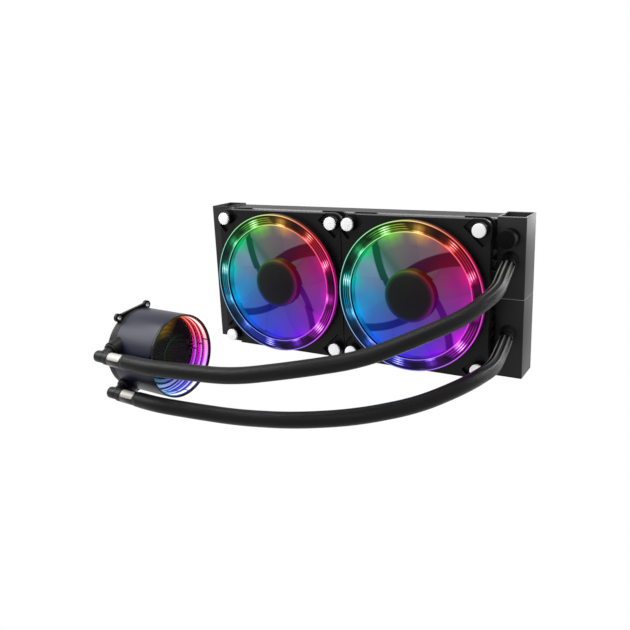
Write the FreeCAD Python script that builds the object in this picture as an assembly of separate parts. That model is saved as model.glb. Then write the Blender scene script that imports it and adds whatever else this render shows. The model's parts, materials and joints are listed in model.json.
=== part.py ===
import FreeCAD, Part
import math
import os
from FreeCAD import Vector

# A liquid cooler for a processor: a radiator standing on its long side with two fans on its front,
# a pump head lying on its side before it, and two hoses between them.
# Millimetres. X runs along the radiator, the fans face -Y, Z is up, Z = 0 is what it stands on.

# Gap all round where one piece fits closely in another
CLOSE_FIT = 0.05

# Radiator
RAD_DEPTH = 27.0
RAD_TALLER = 1.0
RAD_FRONT_Y = 77.45
TANK_WALL = 1.2
PORT_TANK_WIDTH = 21.0
END_TANK_WIDTH = 18.0
TANK_RIM = 4.0
SEAM_WIDTH = 0.5
SEAM_DEPTH = 0.3
HEADER_SHEET = 1.2
RAIL_SHEET = 1.2
RAIL_INSET = 1.3
RAIL_LIP = 13.0
RAIL_SETBACK = 3.0
TUBE_COUNT = 14
TUBE_HEIGHT = 1.8
TUBE_WALL = 0.35
TUBE_POKE = 1.5
CORE_GAP = 2.6
FIN_FOLDS = 14
FIN_SHEET = 0.3
RAIL_SLOT_LENGTH = 5.0
RAIL_SLOT_WIDTH = 1.8
RAIL_SLOT_FROM_TANK = 25.0
RAIL_SLOT_FROM_BACK = 6.0
BACK_HOLE_RADIUS = 2.0

# Outlets and fill cap on the tank beside the right fan
PORT_INSET = 11.0
UPPER_PORT_DROP = 31.6
LOWER_PORT_RISE = 33.9
PORT_DROOP = 25.0
PORT_PAD_RADIUS = 6.3
PORT_PAD_REACH = 2.9
BARB_RADIUS = 3.2
BARB_BORE = 2.4
BARB_LENGTH = 8.0
FERRULE_RADIUS = 5.85
FERRULE_LENGTH = 4.0
CAP_DROP = 14.4
CAP_RADIUS = 6.8
CAP_LENGTH = 12.0
CAP_STEM_RADIUS = 3.5
CAP_STEM_LENGTH = 5.0
CAP_SEAL = 1.0
CAP_GRIPS = 20
CAP_GRIP_RADIUS = 0.55

# Fans
FAN_SIZE = 120.0
FAN_DEPTH = 25.0
FAN_GAP = 0.5
FAN_TANK_GAP = 0.3
FAN_END_GAP = 0.2
SCREW_MARGIN = 7.5
CORNER_RADIUS = 8.0
DUCT_WALL = 1.8
RING_MARGIN = 1.4
RING_WIDTH = 9.4
RING_OVERHANG = 0.8
RING_HEIGHT = 3.0
RING_LIP = 1.0
CHANNEL_WALL = 1.6
CHANNEL_FLOOR = 1.4
CHANNEL_BACK = 11.0
LOWER_PLATE_BACK = 10.5
UPPER_PLATE_BACK = 14.0
UPPER_PLATE_FRONT = 17.0
REAR_PLATE = 3.0
REAR_CORNER = 24.0
NOTCH_TIP = 20.2
NOTCH_ROOT = 5.8
NOTCH_MOUTH = 13.5
POST_RADIUS = 5.6
POST_FRONT = 19.5
PAD_RADIUS = 5.1
PAD_HEIGHT = 2.0
PAD_PLUG = 0.5
SCREW_RADIUS = 1.6
SCREW_HEAD_RADIUS = 3.3
SCREW_HEAD = 2.2
SCREW_TIP = 3.2
HEAD_SINK = 0.6
SCREW_BORE = 2.2
HEAD_BORE = 3.6
STRUT_WIDTH = 6.3
CABLE_STRUT_WIDTH = 11.0
STRUT_HEIGHT = 4.0
STRUT_HUB_ANGLE = 79.0
STRUT_SWEEP = -48.0
STRUT_BOW = 3.0
STRUT_PAST = 3.0
MOTOR_BASE_RADIUS = 20.5
MOTOR_BASE = 2.5
LED_COUNT = 12
LED_FIRST = 21.0
LED_SIZE = 3.0
LED_HEIGHT = 1.2
LED_BOARD = 1.6

# Fan rotor and motor
HUB_RADIUS = 20.5
HUB_BACK = 5.5
HUB_FRONT = 23.5
HUB_WALL = 1.4
HUB_FILLET = 1.6
BLADE_COUNT = 9
BLADE_FIRST = 8.0
BLADE_GAP = 0.8
BLADE_THICKNESS = 1.4
BLADE_BACK = 7.6
BLADE_ROOT_DEPTH = 13.0
BLADE_TIP_DEPTH = 10.5
BLADE_ROOT_WIDTH = 16.5
BLADE_TIP_WIDTH = 41.0
BLADE_LEAN = 14.0
BLADE_CAMBER = 1.6
SHAFT_RADIUS = 1.5
YOKE_SHEET = 1.0
YOKE_BACK = 6.5
MAGNET_WALL = 1.8
MAGNET_LENGTH = 11.0
AIR_GAP = 0.5
STATOR_BACK = 7.0
STATOR_HEIGHT = 7.0
STATOR_CORE = 6.6
POLE_COUNT = 4
POLE_FIRST = 45.0
POLE_WIDTH = 4.0
POLE_SHOE = 1.8
POLE_SHOE_ANGLE = 62.0
COIL_WALL = 1.6
BEARING_TUBE_RADIUS = 5.0
BEARING_RADIUS = 3.9
BEARING_LENGTH = 12.5
MOTOR_BOARD = 1.2

# Pump head, built along its own axis from the cold plate at 0 to the lit face
PUMP_FACE = (-65.5, -60.65)
PUMP_TURN = -3.5
PUMP_RADIUS = 30.1
PUMP_LENGTH = 45.8
SHELL_WALL = 1.8
SHELL_LEDGE = 2.4
LEDGE_HEIGHT = 1.4
BASE_NECK_BACK = 1.2
BASE_BAND_BACK = 3.2
BASE_BAND_FRONT = 7.5
BASE_CORE_FRONT = 16.0
BASE_NECK_RADIUS = 27.6
PLATE_RADIUS = 26.0
PLATE_THICKNESS = 3.0
PLATE_SCREWS = 6
PLATE_SCREW_FIRST = 30.0
PLATE_SCREW_RADIUS = 1.25
PLATE_SCREW_HEAD = 2.3
PLATE_SCREW_CIRCLE = 22.5
PLATE_SCREW_LENGTH = 6.5
MICROFIN_COUNT = 12
MICROFIN_HEIGHT = 2.4
MICROFIN_THICKNESS = 0.9
MICROFIN_FIELD = 24.0
FIN_CAVITY_RADIUS = 18.0
JET_PLATE = 1.4
JET_RADIUS = 4.0
IMPELLER_CAVITY = 14.5
IMPELLER_RADIUS = 13.0
IMPELLER_DISC = 1.2
IMPELLER_BACK = 8.4
VANE_COUNT = 6
VANE_HEIGHT = 2.8
VANE_THICKNESS = 1.1
VANE_BEND = 8.0
IMPELLER_HUB = 3.6
COVER_BACK = 13.2
COVER_THICKNESS = 1.6
COVER_RADIUS = 19.0
CAN_RADIUS = 8.0
CAN_WALL = 0.8
CAN_FRONT = 24.0
ROTOR_MAGNET_RADIUS = 6.4
ROTOR_MAGNET_BACK = 12.8
ROTOR_MAGNET_FRONT = 21.5
PUMP_SHAFT_RADIUS = 1.2
PUMP_STATOR_RADIUS = 21.0
PUMP_STATOR_HEIGHT = 6.0
PUMP_POLES = 6
PUMP_POLE_WIDTH = 3.2
BOARD_BACK = 24.6
BOARD_THICKNESS = 1.4
BOARD_RADIUS = 25.0
BOARD_POST_RADIUS = 1.8
BOARD_POST_CIRCLE = 23.0
CUP_FLOOR_BACK = 28.0
CUP_WALL = 1.0
GLASS_THICKNESS = 1.5
BEZEL_WIDTH = 1.6
BEZEL_HEIGHT = 1.6
FACE_LIGHT_WIDTH = 1.4
FACE_LIGHT_HEIGHT = 1.6
FACE_BOARD = 0.8

# Bracket around the pump head's foot
BRACKET_THICKNESS = 2.2
BRACKET_RING_RADIUS = 29.6
EAR_ANGLES = (-18.5, 32.0, 161.5, 212.0)
EAR_CIRCLE = 32.3
EAR_RADIUS = 3.1
EAR_BAR = 3.6
BUSH_RADIUS = 2.2
BUSH_BORE = 1.6
BUSH_PROUD = 0.5

# Swivel fittings on the pump head
FITTING_TURN = 103.75
FITTING_SPREAD = 15.3
FITTING_REACH = 37.4
FITTING_SIDES = (1, -1)
BOSS_RADIUS = 6.8
BOSS_START = 20.5
BOSS_TOP = 29.5
BOSS_AXIAL = 10.4
GLAND_RADIUS = 6.3
GLAND_HEIGHT = 1.5
SPIGOT_RADIUS = 4.4
SPIGOT_END = 23.0
SWIVEL_GAP = 0.3
NECK_RADIUS = 4.6
KNOB_RADIUS = 4.15
KNOB_BACK = 3.7
KNOB_FRONT = 12.9
ELBOW_RADIUS = 4.8
ELBOW_FRONT = 17.9
COLLAR_RADIUS = 4.95
COLLAR_FRONT = 32.2
COLLAR_WINDOW = 6.0
WINDOW_TURN = 39.5
WATERWAY = 2.3
FITTING_BARB = 8.0

# Hoses
HOSE_RADIUS = 5.4
HOSE_BORE = BARB_RADIUS + CLOSE_FIT
ARC_SHARE = 0.45

# Points chosen along each hose, from the tank's outlet to the pump head's fitting
UPPER_ROUTE = [
    (132.0, 35.0, 76.0),
    (122.0, 0.0, 67.0),
    (104.0, -31.0, 61.0),
    (77.0, -58.0, 51.0),
    (42.0, -78.0, 46.0),
    (3.0, -92.0, 40.0),
    (-33.0, -98.0, 40.0),
]
LOWER_ROUTE = [
    (131.0, 34.0, 22.0),
    (123.0, -1.0, 21.0),
    (103.0, -33.0, 16.0),
    (73.0, -60.0, 13.0),
    (35.0, -74.0, 9.0),
    (-5.0, -80.0, 6.0),
    (-39.0, -88.0, 8.0),
]
OUTLET_RUN = (17.0, 19.1)
FITTING_RUN = 20.0

# Places worked out from the sizes above
FAN_ROW = 2 * FAN_SIZE + FAN_GAP + FAN_TANK_GAP + FAN_END_GAP
RAD_LENGTH = END_TANK_WIDTH + FAN_ROW + PORT_TANK_WIDTH
RAD_HEIGHT = FAN_SIZE + RAD_TALLER
LEFT_X = -RAD_LENGTH / 2
RIGHT_X = RAD_LENGTH / 2
CORE_LEFT_X = LEFT_X + END_TANK_WIDTH
CORE_RIGHT_X = RIGHT_X - PORT_TANK_WIDTH
PORT_X = RIGHT_X - PORT_INSET
PORT_Z = (RAD_HEIGHT - UPPER_PORT_DROP, LOWER_PORT_RISE)
CAP_Z = RAD_HEIGHT - CAP_DROP
RAIL_SLOT_X = CORE_RIGHT_X - RAIL_SLOT_FROM_TANK
RAD_BACK_Y = RAD_FRONT_Y + RAD_DEPTH
SEAT_Y = RAD_FRONT_Y + RAIL_SETBACK
MID_Z = RAD_HEIGHT / 2
CORE_LOW_Z = RAIL_INSET + RAIL_SHEET
CORE_HIGH_Z = RAD_HEIGHT - CORE_LOW_Z
LIP_FRONT_Y = SEAT_Y + RAIL_SHEET
LIP_BACK_Y = RAD_BACK_Y - RAIL_SHEET
CORE_FRONT_Y = LIP_FRONT_Y + CORE_GAP
CORE_BACK_Y = LIP_BACK_Y - CORE_GAP
FIN_HEIGHT = (CORE_HIGH_Z - CORE_LOW_Z - TUBE_COUNT * TUBE_HEIGHT) / (TUBE_COUNT + 1)
ROW_PITCH = FIN_HEIGHT + TUBE_HEIGHT
FAN_RIGHT_CENTRE = CORE_RIGHT_X - FAN_TANK_GAP - FAN_SIZE / 2
FAN_CENTRES = {"left": FAN_RIGHT_CENTRE - FAN_SIZE - FAN_GAP, "right": FAN_RIGHT_CENTRE}
HOLE_OFFSET = FAN_SIZE / 2 - SCREW_MARGIN
CORNERS = [(sx * HOLE_OFFSET, sy * HOLE_OFFSET) for sx in (-1, 1) for sy in (-1, 1)]
RING_BACK = FAN_DEPTH - RING_HEIGHT
RING_RADIUS = FAN_SIZE / 2 - RING_MARGIN
RING_INNER = RING_RADIUS - RING_WIDTH
DUCT_RADIUS = RING_INNER + RING_OVERHANG
BLADE_TIP = DUCT_RADIUS - BLADE_GAP
YOKE_RADIUS = HUB_RADIUS - HUB_WALL - CLOSE_FIT
MAGNET_RADIUS = YOKE_RADIUS - YOKE_SHEET - CLOSE_FIT
STATOR_RADIUS = MAGNET_RADIUS - MAGNET_WALL - AIR_GAP
SHELL_INNER = PUMP_RADIUS - SHELL_WALL
CUP_RADIUS = SHELL_INNER - CLOSE_FIT
GLASS_BACK = PUMP_LENGTH - BEZEL_HEIGHT
PUMP_AXIS_Z = EAR_RADIUS - EAR_CIRCLE * math.cos(math.radians(EAR_ANGLES[2]))


def box(x0, x1, y0, y1, z0, z1):
    return Part.makeBox(x1 - x0, y1 - y0, z1 - z0, Vector(x0, y0, z0))


def disc(radius, z0, z1, x=0.0, y=0.0):
    return Part.makeCylinder(radius, z1 - z0, Vector(x, y, z0))


def ring(outer, inner, z0, z1, x=0.0, y=0.0):
    return disc(outer, z0, z1, x, y).cut(disc(inner, z0, z1, x, y))


def rod(radius, start, direction, length):
    return Part.makeCylinder(radius, length, start, direction)


def prism(points, z0, z1):
    corners = [Vector(x, y, z0) for x, y in points]
    wire = Part.makePolygon(corners + [corners[0]])
    return Part.Face(wire).extrude(Vector(0, 0, z1 - z0))


def polar(radius, angle):
    turn = math.radians(angle)
    return radius * math.cos(turn), radius * math.sin(turn)


def around(shape, count, first=0.0):
    """Copies of a shape, evenly spaced about the Z axis."""
    copies = []
    for index in range(count):
        copy = shape.copy()
        copy.rotate(Vector(0, 0, 0), Vector(0, 0, 1), first + index * 360.0 / count)
        copies.append(copy)
    return copies


def fuse(shapes):
    whole = shapes[0]
    if len(shapes) > 1:
        whole = whole.multiFuse(shapes[1:])
    return whole.removeSplitter()


def cut(shape, tools):
    return shape.cut(Part.makeCompound(tools))


def frame_at(x_dir, y_dir, z_dir, origin):
    """The move from a piece's own axes to a place in the part."""
    return FreeCAD.Matrix(
        x_dir.x, y_dir.x, z_dir.x, origin.x,
        x_dir.y, y_dir.y, z_dir.y, origin.y,
        x_dir.z, y_dir.z, z_dir.z, origin.z,
        0, 0, 0, 1,
    )


def fan_place(side):
    """A fan's own Z runs from its seat on the rails to its lit front."""
    seat = Vector(FAN_CENTRES[side], SEAT_Y, MID_Z)
    return frame_at(Vector(1, 0, 0), Vector(0, 0, 1), Vector(0, -1, 0), seat)


def pump_place():
    """The pump head's own Z runs from its cold plate to its lit face, its own X points up."""
    turn = math.radians(PUMP_TURN)
    axis = Vector(math.cos(turn), math.sin(turn), 0)
    front = Vector(math.sin(turn), -math.cos(turn), 0)
    face = Vector(PUMP_FACE[0], PUMP_FACE[1], PUMP_AXIS_Z)
    return frame_at(Vector(0, 0, 1), front, axis, face - axis * PUMP_LENGTH)


def save(name, solids, place=None):
    """One STEP file for one node: a single solid, or a group of equal pieces."""
    if not isinstance(solids, list):
        solids = [solids]
    if place is not None:
        solids = [solid.transformed(place) for solid in solids]
    shape = solids[0] if len(solids) == 1 else Part.makeCompound(solids)
    if len(shape.Solids) == 1:
        shape = shape.Solids[0]
    if not shape.isValid():
        raise ValueError(name + " is not valid")
    shape.exportStep("parts/" + name + ".step")


# Radiator


def row_bottom(index):
    """The underside of a row of fins, counted from below."""
    return CORE_LOW_Z + index * ROW_PITCH


def flat_tube_block(index, grow=0.0):
    z0 = row_bottom(index) + FIN_HEIGHT
    left = CORE_LEFT_X - TUBE_POKE
    right = CORE_RIGHT_X + TUBE_POKE
    return box(
        left - grow, right + grow, CORE_FRONT_Y, CORE_BACK_Y, z0, z0 + TUBE_HEIGHT
    )


def flat_tubes():
    tubes = []
    for index in range(TUBE_COUNT):
        z0 = row_bottom(index) + FIN_HEIGHT
        bore = box(
            CORE_LEFT_X - TUBE_POKE,
            CORE_RIGHT_X + TUBE_POKE,
            CORE_FRONT_Y + TUBE_WALL,
            CORE_BACK_Y - TUBE_WALL,
            z0 + TUBE_WALL,
            z0 + TUBE_HEIGHT - TUBE_WALL,
        )
        tubes.append(flat_tube_block(index).cut(bore))
    return tubes


def fin_strip(index):
    """One folded strip: its crests lie flat on the tubes or rails above and below it."""
    low = row_bottom(index)
    high = low + FIN_HEIGHT
    pitch = (CORE_RIGHT_X - CORE_LEFT_X) / FIN_FOLDS
    rise = FIN_HEIGHT / (pitch / 2)
    thick = FIN_SHEET * math.hypot(1, rise)
    crest = thick / rise
    upper = []
    lower = []
    for fold in range(FIN_FOLDS):
        x = CORE_LEFT_X + fold * pitch
        top = x + pitch / 2
        upper += [(x, low + thick), (top - crest / 2, high), (top + crest / 2, high)]
        first = [(x, low)] if fold == 0 else [(x - crest / 2, low), (x + crest / 2, low)]
        lower += first + [(top, high - thick)]
    upper.append((CORE_RIGHT_X, low + thick))
    lower.append((CORE_RIGHT_X, low))
    outline = [Vector(x, CORE_FRONT_Y, z) for x, z in upper + lower[::-1]]
    face = Part.Face(Part.makePolygon(outline + [outline[0]]))
    return face.extrude(Vector(0, CORE_BACK_Y - CORE_FRONT_Y, 0))


def tank(outer_x, core_x):
    """A tank: a box open towards the core, with a rim standing round each end plate."""
    inward = 1 if core_x > outer_x else -1
    low_x, high_x = sorted((outer_x, core_x))
    wall_x = outer_x + inward * TANK_WALL
    rim_x = core_x - inward * TANK_WALL
    end = TANK_RIM + TANK_WALL
    front = RAD_FRONT_Y + TANK_WALL
    back = RAD_BACK_Y - TANK_WALL
    shell = box(low_x, high_x, RAD_FRONT_Y, RAD_BACK_Y, 0, RAD_HEIGHT)
    room = box(*sorted((wall_x, core_x)), front, back, end, RAD_HEIGHT - end)
    top = box(*sorted((wall_x, rim_x)), front, back, RAD_HEIGHT - TANK_RIM, RAD_HEIGHT)
    foot = box(*sorted((wall_x, rim_x)), front, back, 0, TANK_RIM)
    return cut(shell, [room, top, foot])


def port_axis():
    droop = math.radians(PORT_DROOP)
    return Vector(0, -math.cos(droop), -math.sin(droop))


def port_tank():
    """The tank with the outlets: a joint line runs round its middle."""
    shell = tank(RIGHT_X, CORE_RIGHT_X)
    seam_z = MID_Z - SEAM_WIDTH / 2
    outer = box(
        CORE_RIGHT_X, RIGHT_X, RAD_FRONT_Y, RAD_BACK_Y, seam_z, seam_z + SEAM_WIDTH
    )
    inner = box(
        CORE_RIGHT_X - SEAM_DEPTH,
        RIGHT_X - SEAM_DEPTH,
        RAD_FRONT_Y + SEAM_DEPTH,
        RAD_BACK_Y - SEAM_DEPTH,
        seam_z,
        seam_z + SEAM_WIDTH,
    )
    holes = [outer.cut(inner)]
    for z in PORT_Z:
        start = Vector(PORT_X, RAD_FRONT_Y, z) - port_axis() * PORT_PAD_REACH
        holes.append(rod(BARB_BORE, start, port_axis(), 2 * PORT_PAD_REACH))
    stem_hole = CAP_STEM_RADIUS + CLOSE_FIT
    stem = rod(stem_hole, Vector(PORT_X, RAD_FRONT_Y, CAP_Z), Vector(0, 1, 0), TANK_WALL)
    return cut(shell, holes + [stem])


def header(core_x, inward):
    """The plate that the flat tubes' ends pass through."""
    x0, x1 = sorted((core_x, core_x - inward * HEADER_SHEET))
    end = TANK_RIM + TANK_WALL
    plate = box(
        x0,
        x1,
        RAD_FRONT_Y + TANK_WALL,
        RAD_BACK_Y - TANK_WALL,
        end,
        RAD_HEIGHT - end,
    )
    return cut(plate, [flat_tube_block(index, 1.0) for index in range(TUBE_COUNT)])


def divider():
    """It parts the inlet half of the port tank from the outlet half."""
    return box(
        CORE_RIGHT_X + HEADER_SHEET,
        RIGHT_X - TANK_WALL,
        RAD_FRONT_Y + TANK_WALL,
        RAD_BACK_Y - TANK_WALL,
        MID_Z - TANK_WALL / 2,
        MID_Z + TANK_WALL / 2,
    )


def rail_holes():
    """The fans' screws pass through the front lip, a case's screws through the back one."""
    holes = []
    inward = Vector(0, 1, 0)
    for centre in FAN_CENTRES.values():
        for dx, dz in CORNERS:
            front = Vector(centre + dx, SEAT_Y, MID_Z + dz)
            back = Vector(centre + dx, LIP_BACK_Y, MID_Z + dz)
            holes.append(rod(SCREW_RADIUS + CLOSE_FIT, front, inward, RAIL_SHEET))
            holes.append(rod(BACK_HOLE_RADIUS, back, inward, RAIL_SHEET))
    return holes


def lower_rail():
    """A folded channel: a web with a lip at its front and back for screws."""
    x0, x1 = CORE_LEFT_X, CORE_RIGHT_X
    z0 = RAIL_INSET
    web = box(x0, x1, SEAT_Y, RAD_BACK_Y, z0, z0 + RAIL_SHEET)
    front = box(x0, x1, SEAT_Y, LIP_FRONT_Y, z0, z0 + RAIL_LIP)
    back = box(x0, x1, LIP_BACK_Y, RAD_BACK_Y, z0, z0 + RAIL_LIP)
    return cut(fuse([web, front, back]), rail_holes())


def rails():
    low = lower_rail()
    high = low.mirror(Vector(0, 0, MID_Z), Vector(0, 0, 1))
    half = RAIL_SLOT_LENGTH / 2 - RAIL_SLOT_WIDTH / 2
    slot_y = RAD_BACK_Y - RAIL_SLOT_FROM_BACK
    ends = [
        disc(RAIL_SLOT_WIDTH / 2, CORE_HIGH_Z, RAD_HEIGHT, RAIL_SLOT_X + side * half, slot_y)
        for side in (-1, 1)
    ]
    middle = box(
        RAIL_SLOT_X - half,
        RAIL_SLOT_X + half,
        slot_y - RAIL_SLOT_WIDTH / 2,
        slot_y + RAIL_SLOT_WIDTH / 2,
        CORE_HIGH_Z,
        RAD_HEIGHT,
    )
    return [low, cut(high, ends + [middle])]


def port_stub(z):
    """A brazed outlet: a pad against the tank that carries a barb pointing down and out."""
    axis = port_axis()
    start = Vector(PORT_X, RAD_FRONT_Y, z)
    pad = rod(PORT_PAD_RADIUS, start - axis * PORT_PAD_RADIUS, axis, PORT_PAD_RADIUS + PORT_PAD_REACH)
    barb = rod(BARB_RADIUS, start, axis, PORT_PAD_REACH + BARB_LENGTH)
    reach = 4 * PORT_PAD_RADIUS
    behind = box(
        PORT_X - reach, PORT_X + reach, RAD_FRONT_Y, RAD_FRONT_Y + reach, z - reach, z + reach
    )
    bore = rod(BARB_BORE, start - axis * reach, axis, 3 * reach)
    return cut(fuse([pad, barb]), [behind, bore])


def port_ferrule(z):
    """A sleeve pressed over the end of a hose on its barb."""
    axis = port_axis()
    start = Vector(PORT_X, RAD_FRONT_Y, z) + axis * PORT_PAD_REACH
    sleeve = rod(FERRULE_RADIUS, start, axis, FERRULE_LENGTH)
    return sleeve.cut(rod(HOSE_RADIUS + CLOSE_FIT, start, axis, FERRULE_LENGTH))


def fill_cap():
    """A round knob with a fluted rim on a threaded stem."""
    seat = RAD_FRONT_Y - CAP_SEAL
    start = Vector(PORT_X, seat, CAP_Z)
    knob = rod(CAP_RADIUS, start, Vector(0, -1, 0), CAP_LENGTH)
    flutes = []
    for index in range(CAP_GRIPS):
        dx, dz = polar(CAP_RADIUS, index * 360.0 / CAP_GRIPS)
        flutes.append(
            rod(CAP_GRIP_RADIUS, start + Vector(dx, -2, dz), Vector(0, -1, 0), CAP_LENGTH)
        )
    knob = cut(knob, flutes)
    stem = rod(CAP_STEM_RADIUS, start, Vector(0, 1, 0), CAP_STEM_LENGTH)
    return fuse([knob, stem])


def cap_seal():
    start = Vector(PORT_X, RAD_FRONT_Y, CAP_Z)
    outer = rod(CAP_RADIUS - 1, start, Vector(0, -1, 0), CAP_SEAL)
    return outer.cut(rod(CAP_STEM_RADIUS + CLOSE_FIT, start, Vector(0, -1, 0), CAP_SEAL))


def radiator():
    save("port_tank", port_tank())
    save("end_tank", tank(LEFT_X, CORE_LEFT_X))
    save("tank_headers", [header(CORE_LEFT_X, 1), header(CORE_RIGHT_X, -1)])
    save("tank_divider", divider())
    save("flat_tubes", flat_tubes())
    save("fin_strips", [fin_strip(index) for index in range(TUBE_COUNT + 1)])
    save("side_rails", rails())
    save("port_stubs", [port_stub(z) for z in PORT_Z])
    save("port_ferrules", [port_ferrule(z) for z in PORT_Z])
    save("fill_cap", fill_cap())
    save("fill_cap_seal", cap_seal())


# Fans


def rounded_square(z0, z1):
    half = FAN_SIZE / 2
    block = box(-half, half, -half, half, z0, z1)
    upright = [edge for edge in block.Edges if abs(edge.tangentAt(edge.FirstParameter).z) > 0.9]
    return block.makeFillet(CORNER_RADIUS, upright)


def corner_notch():
    """The swallow-tail opening in the front plate round one screw post."""
    past = FAN_SIZE
    edge = FAN_SIZE / 2
    mouth = edge - NOTCH_MOUTH
    root = edge - NOTCH_ROOT
    tip = edge - NOTCH_TIP
    points = [
        (mouth, edge),
        (tip, root),
        (root, tip),
        (edge, mouth),
        (past, mouth),
        (past, past),
        (mouth, past),
    ]
    return prism(points, UPPER_PLATE_BACK, UPPER_PLATE_FRONT)


def strut(angle, width):
    """A curved arm from the motor base to the duct: a band between two arcs."""
    hub = Vector(*polar(MOTOR_BASE_RADIUS - 2, angle), 0)
    end = DUCT_RADIUS + DUCT_WALL / 2
    rim = Vector(*polar(end + STRUT_PAST, angle + STRUT_SWEEP), 0)
    along = rim - hub
    along.normalize()
    side = Vector(-along.y, along.x, 0)
    middle = (hub + rim) * 0.5 + side * STRUT_BOW
    half = side * (width / 2)
    near = Part.Arc(hub + half, middle + half, rim + half).toShape()
    far = Part.Arc(rim - half, middle - half, hub - half).toShape()
    ends = [
        Part.makeLine(rim + half, rim - half),
        Part.makeLine(hub - half, hub + half),
    ]
    wire = Part.Wire([near, ends[0], far, ends[1]])
    return Part.Face(wire).extrude(Vector(0, 0, STRUT_HEIGHT)).common(disc(end, 0, STRUT_HEIGHT))


def fan_frame():
    """Plates, screw posts, duct, light channel and the motor base on its curved struts."""
    half = FAN_SIZE / 2
    channel_radius = RING_RADIUS
    upper = cut(rounded_square(UPPER_PLATE_BACK, UPPER_PLATE_FRONT), around(corner_notch(), 4))
    lower = rounded_square(LOWER_PLATE_BACK, UPPER_PLATE_BACK)
    plates = cut(fuse([upper, lower]), [disc(channel_radius, 0, FAN_DEPTH)])
    rear = rounded_square(0, REAR_PLATE)
    window = half - REAR_CORNER
    crossing = [
        box(-window, window, -half, half, 0, REAR_PLATE),
        box(-half, half, -window, window, 0, REAR_PLATE),
        disc(DUCT_RADIUS, 0, REAR_PLATE),
    ]
    rear = cut(rear, crossing)
    duct = ring(DUCT_RADIUS + DUCT_WALL, DUCT_RADIUS, 0, RING_BACK)
    wall = ring(channel_radius, channel_radius - CHANNEL_WALL, CHANNEL_BACK, RING_BACK)
    floor = ring(channel_radius, DUCT_RADIUS, CHANNEL_BACK, CHANNEL_BACK + CHANNEL_FLOOR)
    posts = [disc(POST_RADIUS, UPPER_PLATE_BACK, POST_FRONT, x, y) for x, y in CORNERS]
    columns = [disc(POST_RADIUS - 2, REAR_PLATE, LOWER_PLATE_BACK, x, y) for x, y in CORNERS]
    base = disc(MOTOR_BASE_RADIUS, 0, MOTOR_BASE)
    tube = disc(BEARING_TUBE_RADIUS, MOTOR_BASE, MOTOR_BASE + BEARING_LENGTH)
    struts = [
        strut(STRUT_HUB_ANGLE + index * 90.0, CABLE_STRUT_WIDTH if index == 0 else STRUT_WIDTH)
        for index in range(4)
    ]
    struts = [arm.cut(disc(MOTOR_BASE_RADIUS, MOTOR_BASE, STRUT_HEIGHT)) for arm in struts]
    whole = fuse([plates, rear, duct, wall, floor, base, tube] + posts + columns + struts)
    holes = [disc(BEARING_RADIUS, MOTOR_BASE, FAN_DEPTH)]
    for x, y in CORNERS:
        holes.append(disc(SCREW_BORE, 0, POST_FRONT, x, y))
        holes.append(disc(HEAD_BORE, UPPER_PLATE_FRONT - HEAD_SINK, POST_FRONT, x, y))
    return cut(whole, holes)


def light_ring():
    """The lit annulus on the front: a raised lip at each edge of a dished mirror."""
    profile = [
        (RING_INNER, RING_BACK),
        (RING_RADIUS, RING_BACK),
        (RING_RADIUS, FAN_DEPTH),
        (RING_RADIUS - RING_LIP, FAN_DEPTH),
        (RING_RADIUS - 2 * RING_LIP, FAN_DEPTH - RING_LIP),
        (RING_INNER + RING_LIP, FAN_DEPTH - RING_LIP),
        (RING_INNER + RING_LIP / 2, FAN_DEPTH - RING_LIP / 2),
        (RING_INNER, FAN_DEPTH - RING_LIP / 2),
    ]
    points = [Vector(r, 0, z) for r, z in profile]
    face = Part.Face(Part.makePolygon(points + [points[0]]))
    return face.revolve(Vector(0, 0, 0), Vector(0, 0, 1), 360)


def led_ring():
    """A ring board with its lamps, each a small block on it."""
    back = CHANNEL_BACK + CHANNEL_FLOOR
    outer = RING_RADIUS - CHANNEL_WALL - 0.3
    inner = DUCT_RADIUS + DUCT_WALL + 0.3
    middle = (outer + inner) / 2
    half = LED_SIZE / 2
    lamp = box(
        middle - half, middle + half, -half, half, back + LED_BOARD, back + LED_BOARD + LED_HEIGHT
    )
    return [ring(outer, inner, back, back + LED_BOARD)] + around(lamp, LED_COUNT, LED_FIRST)


def blade_section(radius, width, depth, lean):
    """A cambered section across a blade, on a plane square to its radius."""
    turn = math.radians(lean)
    out = Vector(math.cos(turn), math.sin(turn), 0)
    along = Vector(-math.sin(turn), math.cos(turn), 0)
    mid_z = BLADE_BACK + BLADE_ROOT_DEPTH / 2
    centre = out * radius + Vector(0, 0, mid_z)
    tail = centre - along * (width / 2) - Vector(0, 0, depth / 2)
    nose = centre + along * (width / 2) + Vector(0, 0, depth / 2)
    chord = nose - tail
    normal = chord.cross(out)
    normal.normalize()
    lift = normal * (BLADE_THICKNESS / 2)
    bulge = normal * BLADE_CAMBER
    front = Part.Arc(tail + lift, centre + bulge + lift, nose + lift).toShape()
    back = Part.Arc(nose - lift, centre + bulge - lift, tail - lift).toShape()
    tip = Part.makeLine(nose + lift, nose - lift)
    end = Part.makeLine(tail - lift, tail + lift)
    return Part.Wire([front, tip, back, end])


def blade():
    root = blade_section(
        HUB_RADIUS - HUB_WALL - 2, BLADE_ROOT_WIDTH, BLADE_ROOT_DEPTH - BLADE_THICKNESS, 0
    )
    tip = blade_section(
        BLADE_TIP + 3, BLADE_TIP_WIDTH, BLADE_TIP_DEPTH - BLADE_THICKNESS, BLADE_LEAN
    )
    body = Part.makeLoft([root, tip], True, True)
    return body.common(ring(BLADE_TIP, HUB_RADIUS - HUB_WALL / 2, 0, FAN_DEPTH))


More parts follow.
